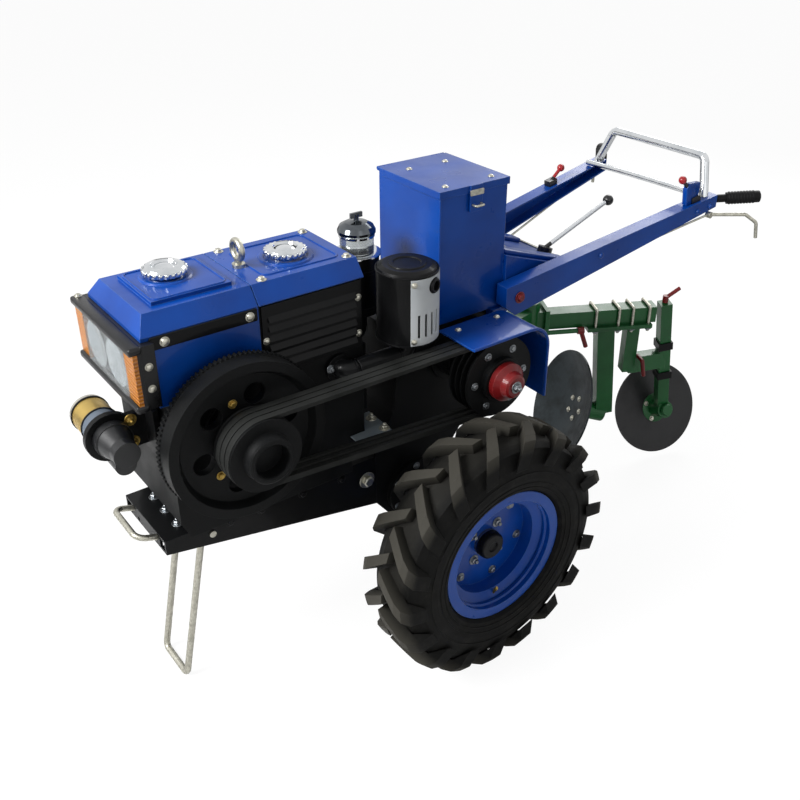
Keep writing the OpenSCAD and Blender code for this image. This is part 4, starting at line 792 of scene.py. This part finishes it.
fit("beam_u_bolts", "chassis", ZINC,
    [(rod([on_beam(d, across, z) for across, z in U_BOLT], 4.6), AS_DRAWN) for d in U_BOLTS_AT])
fasten("beam_u_bolt_nuts", "chassis", STEEL, hexagon, 7,
       [(on_beam(d, across, 507.5), (0, 0, -1)) for d in U_BOLTS_AT for across in (-31, 31)])
fasten("hitch_bolts", "chassis", ZINC, nut, 8,
       [((-252.2, y, z), (-1, 0, 0)) for y in (-64, 64) for z in (578, 646)])
fit("hitch_brace", "chassis", GREEN,
    [(rod([(-250, 66, 662), (-330, 66, 662), (-384, 62, 640), (-330, 58, 606), (-320, 42, 600)], 8),
      AS_DRAWN),
     (rod([(-300, 66, 662), (-340, 62, 612)], 7, smooth=False), AS_DRAWN)])


def on_disc(centre, axis, lift, r=0, angle=0):
    """A spot above a disc's face, at a radius and an angle from its middle."""
    step = Vector((r * math.cos(angle), r * math.sin(angle), 0))
    return Vector(centre) + axis * lift + lean_to(axis) @ step


fasten("disc_bolts", "disc_spindle", ZINC, dome, 7,
       [(on_disc(DISC_CENTRE, DISC_AXIS, 2.1, 36, 2 * math.pi * k / 5), DISC_AXIS) for k in range(5)])
fit("tail_flange", "tail_spindle", GREEN,
    [(turned([(12.3, 0), (48, 0), (48, 2.2), (46, 3.4), (12.3, 3.4), (12.3, 0)], 40),
      place(on_disc(TAIL_CENTRE, TAIL_AXIS, 2.9), TAIL_AXIS))])
fasten("tail_flange_bolts", "tail_spindle", ZINC, hexagon, 5,
       [(on_disc(TAIL_CENTRE, TAIL_AXIS, 6.2, 39, math.pi * (k + 0.5) / 2), TAIL_AXIS) for k in range(4)])
fit("tail_hub_cap", "tail_spindle", GREEN,
    [(turned([(0, 0), (20, 0), (20, 5), (17, 9), (0, 9)], 32),
      place(on_disc(TAIL_CENTRE, TAIL_AXIS, 67.4), TAIL_AXIS))])
TAIL_HUB = Vector((-1042.8, 84.1, 166.6))
TAIL_TOP = Vector((-975.1, 89.7, 571))
post_way = (TAIL_TOP - TAIL_HUB).normalized()
# The square clamps are turned so that their flats lie along the beam.
clamp_x = lean_to(post_way) @ Vector((1, 0, 0))
clamp_spin = math.atan2(BEAM_WAY.y, BEAM_WAY.x) - math.atan2(clamp_x.y, clamp_x.x) + math.pi / 4
fit("post_clamps", "chassis", BLACK,
    [(band(25.8, 32.5, 26, 4), place(TAIL_HUB.lerp(TAIL_TOP, f), post_way, clamp_spin)) for f in (0.33, 0.6)])
fit("clamp_crank", "chassis", RED,
    [(rod([(-906, 66, 400), (-893, 96, 402), (-886, 106, 398), (-890, 108, 372), (-894, 110, 352)], 6.5),
      AS_DRAWN)])


# Floor and light

FLOOR_SEEN_WHITE, FLOOR_GLOW = 0.85, 1.09
WORLD_LIGHT, WORLD_SEEN = 0.26, 1.0
PLAIN_WHITE = (1, 1, 1, 1)


def floor_finish():
    """Matte pale floor that shows white round the object and keeps a soft shadow."""
    made, tree, shader, _ = start("matte_pale_floor", Base_Color=linear("#e8e8e8"), Roughness=0.9)
    path = add(tree, "ShaderNodeLightPath")
    seen = add(tree, "ShaderNodeMath", {0: path.outputs["Is Camera Ray"], 1: FLOOR_SEEN_WHITE}, 0,
               operation="MULTIPLY")
    glow = add(tree, "ShaderNodeEmission", {"Color": PLAIN_WHITE, "Strength": FLOOR_GLOW}, 0)
    both = add(tree, "ShaderNodeMixShader", {0: seen, 1: shader.outputs[0], 2: glow}, 0)
    tree.links.new(both, tree.nodes["Material Output"].inputs["Surface"])
    return made


floor_shape = bmesh.new()
bmesh.ops.create_grid(floor_shape, x_segments=1, y_segments=1, size=40)
floor_mesh = bpy.data.meshes.new("floor")
floor_shape.to_mesh(floor_mesh)
floor_shape.free()
floor_mesh.materials.append(floor_finish())
floor = bpy.data.objects.new("floor", floor_mesh)
bpy.context.scene.collection.objects.link(floor)

world = bpy.data.worlds.new("studio")
bpy.context.scene.world = world
world.use_nodes = True
sky = world.node_tree
for old in list(sky.nodes):
    sky.nodes.remove(old)
rays = add(sky, "ShaderNodeLightPath")
shown = add(sky, "ShaderNodeMath", {0: rays.outputs["Is Camera Ray"], 1: rays.outputs["Is Glossy Ray"]}, 0,
            operation="MAXIMUM")
shown = add(sky, "ShaderNodeMath", {0: shown, 1: rays.outputs["Is Transmission Ray"]}, 0,
            operation="MAXIMUM")
strength = add(sky, "ShaderNodeMapRange", {"Value": shown, "To Min": WORLD_LIGHT, "To Max": WORLD_SEEN},
               "Result")
glow = add(sky, "ShaderNodeBackground", {"Color": PLAIN_WHITE, "Strength": strength}, 0)
add(sky, "ShaderNodeOutputWorld", {"Surface": glow})


def lamp(name, spot, target, size, power):
    """A round soft lamp that looks at a target."""
    data = bpy.data.lights.new(name, "AREA")
    data.shape = "DISK"
    data.size = size
    data.energy = power
    made = bpy.data.objects.new(name, data)
    aim = (target - spot).to_track_quat("-Z", "Y").to_matrix().to_4x4()
    made.matrix_world = Matrix.Translation(spot) @ aim
    bpy.context.scene.collection.objects.link(made)


middle = at(0, 0, 500)
lamp("key", at(3200, -300, 3000), middle, 1.8, 190)
lamp("fill", at(600, 3600, 1900), middle, 2.6, 10)
lamp("rear", at(-3000, -1500, 2600), middle, 2.0, 55)

bpy.context.scene.view_settings.view_transform = "Standard"
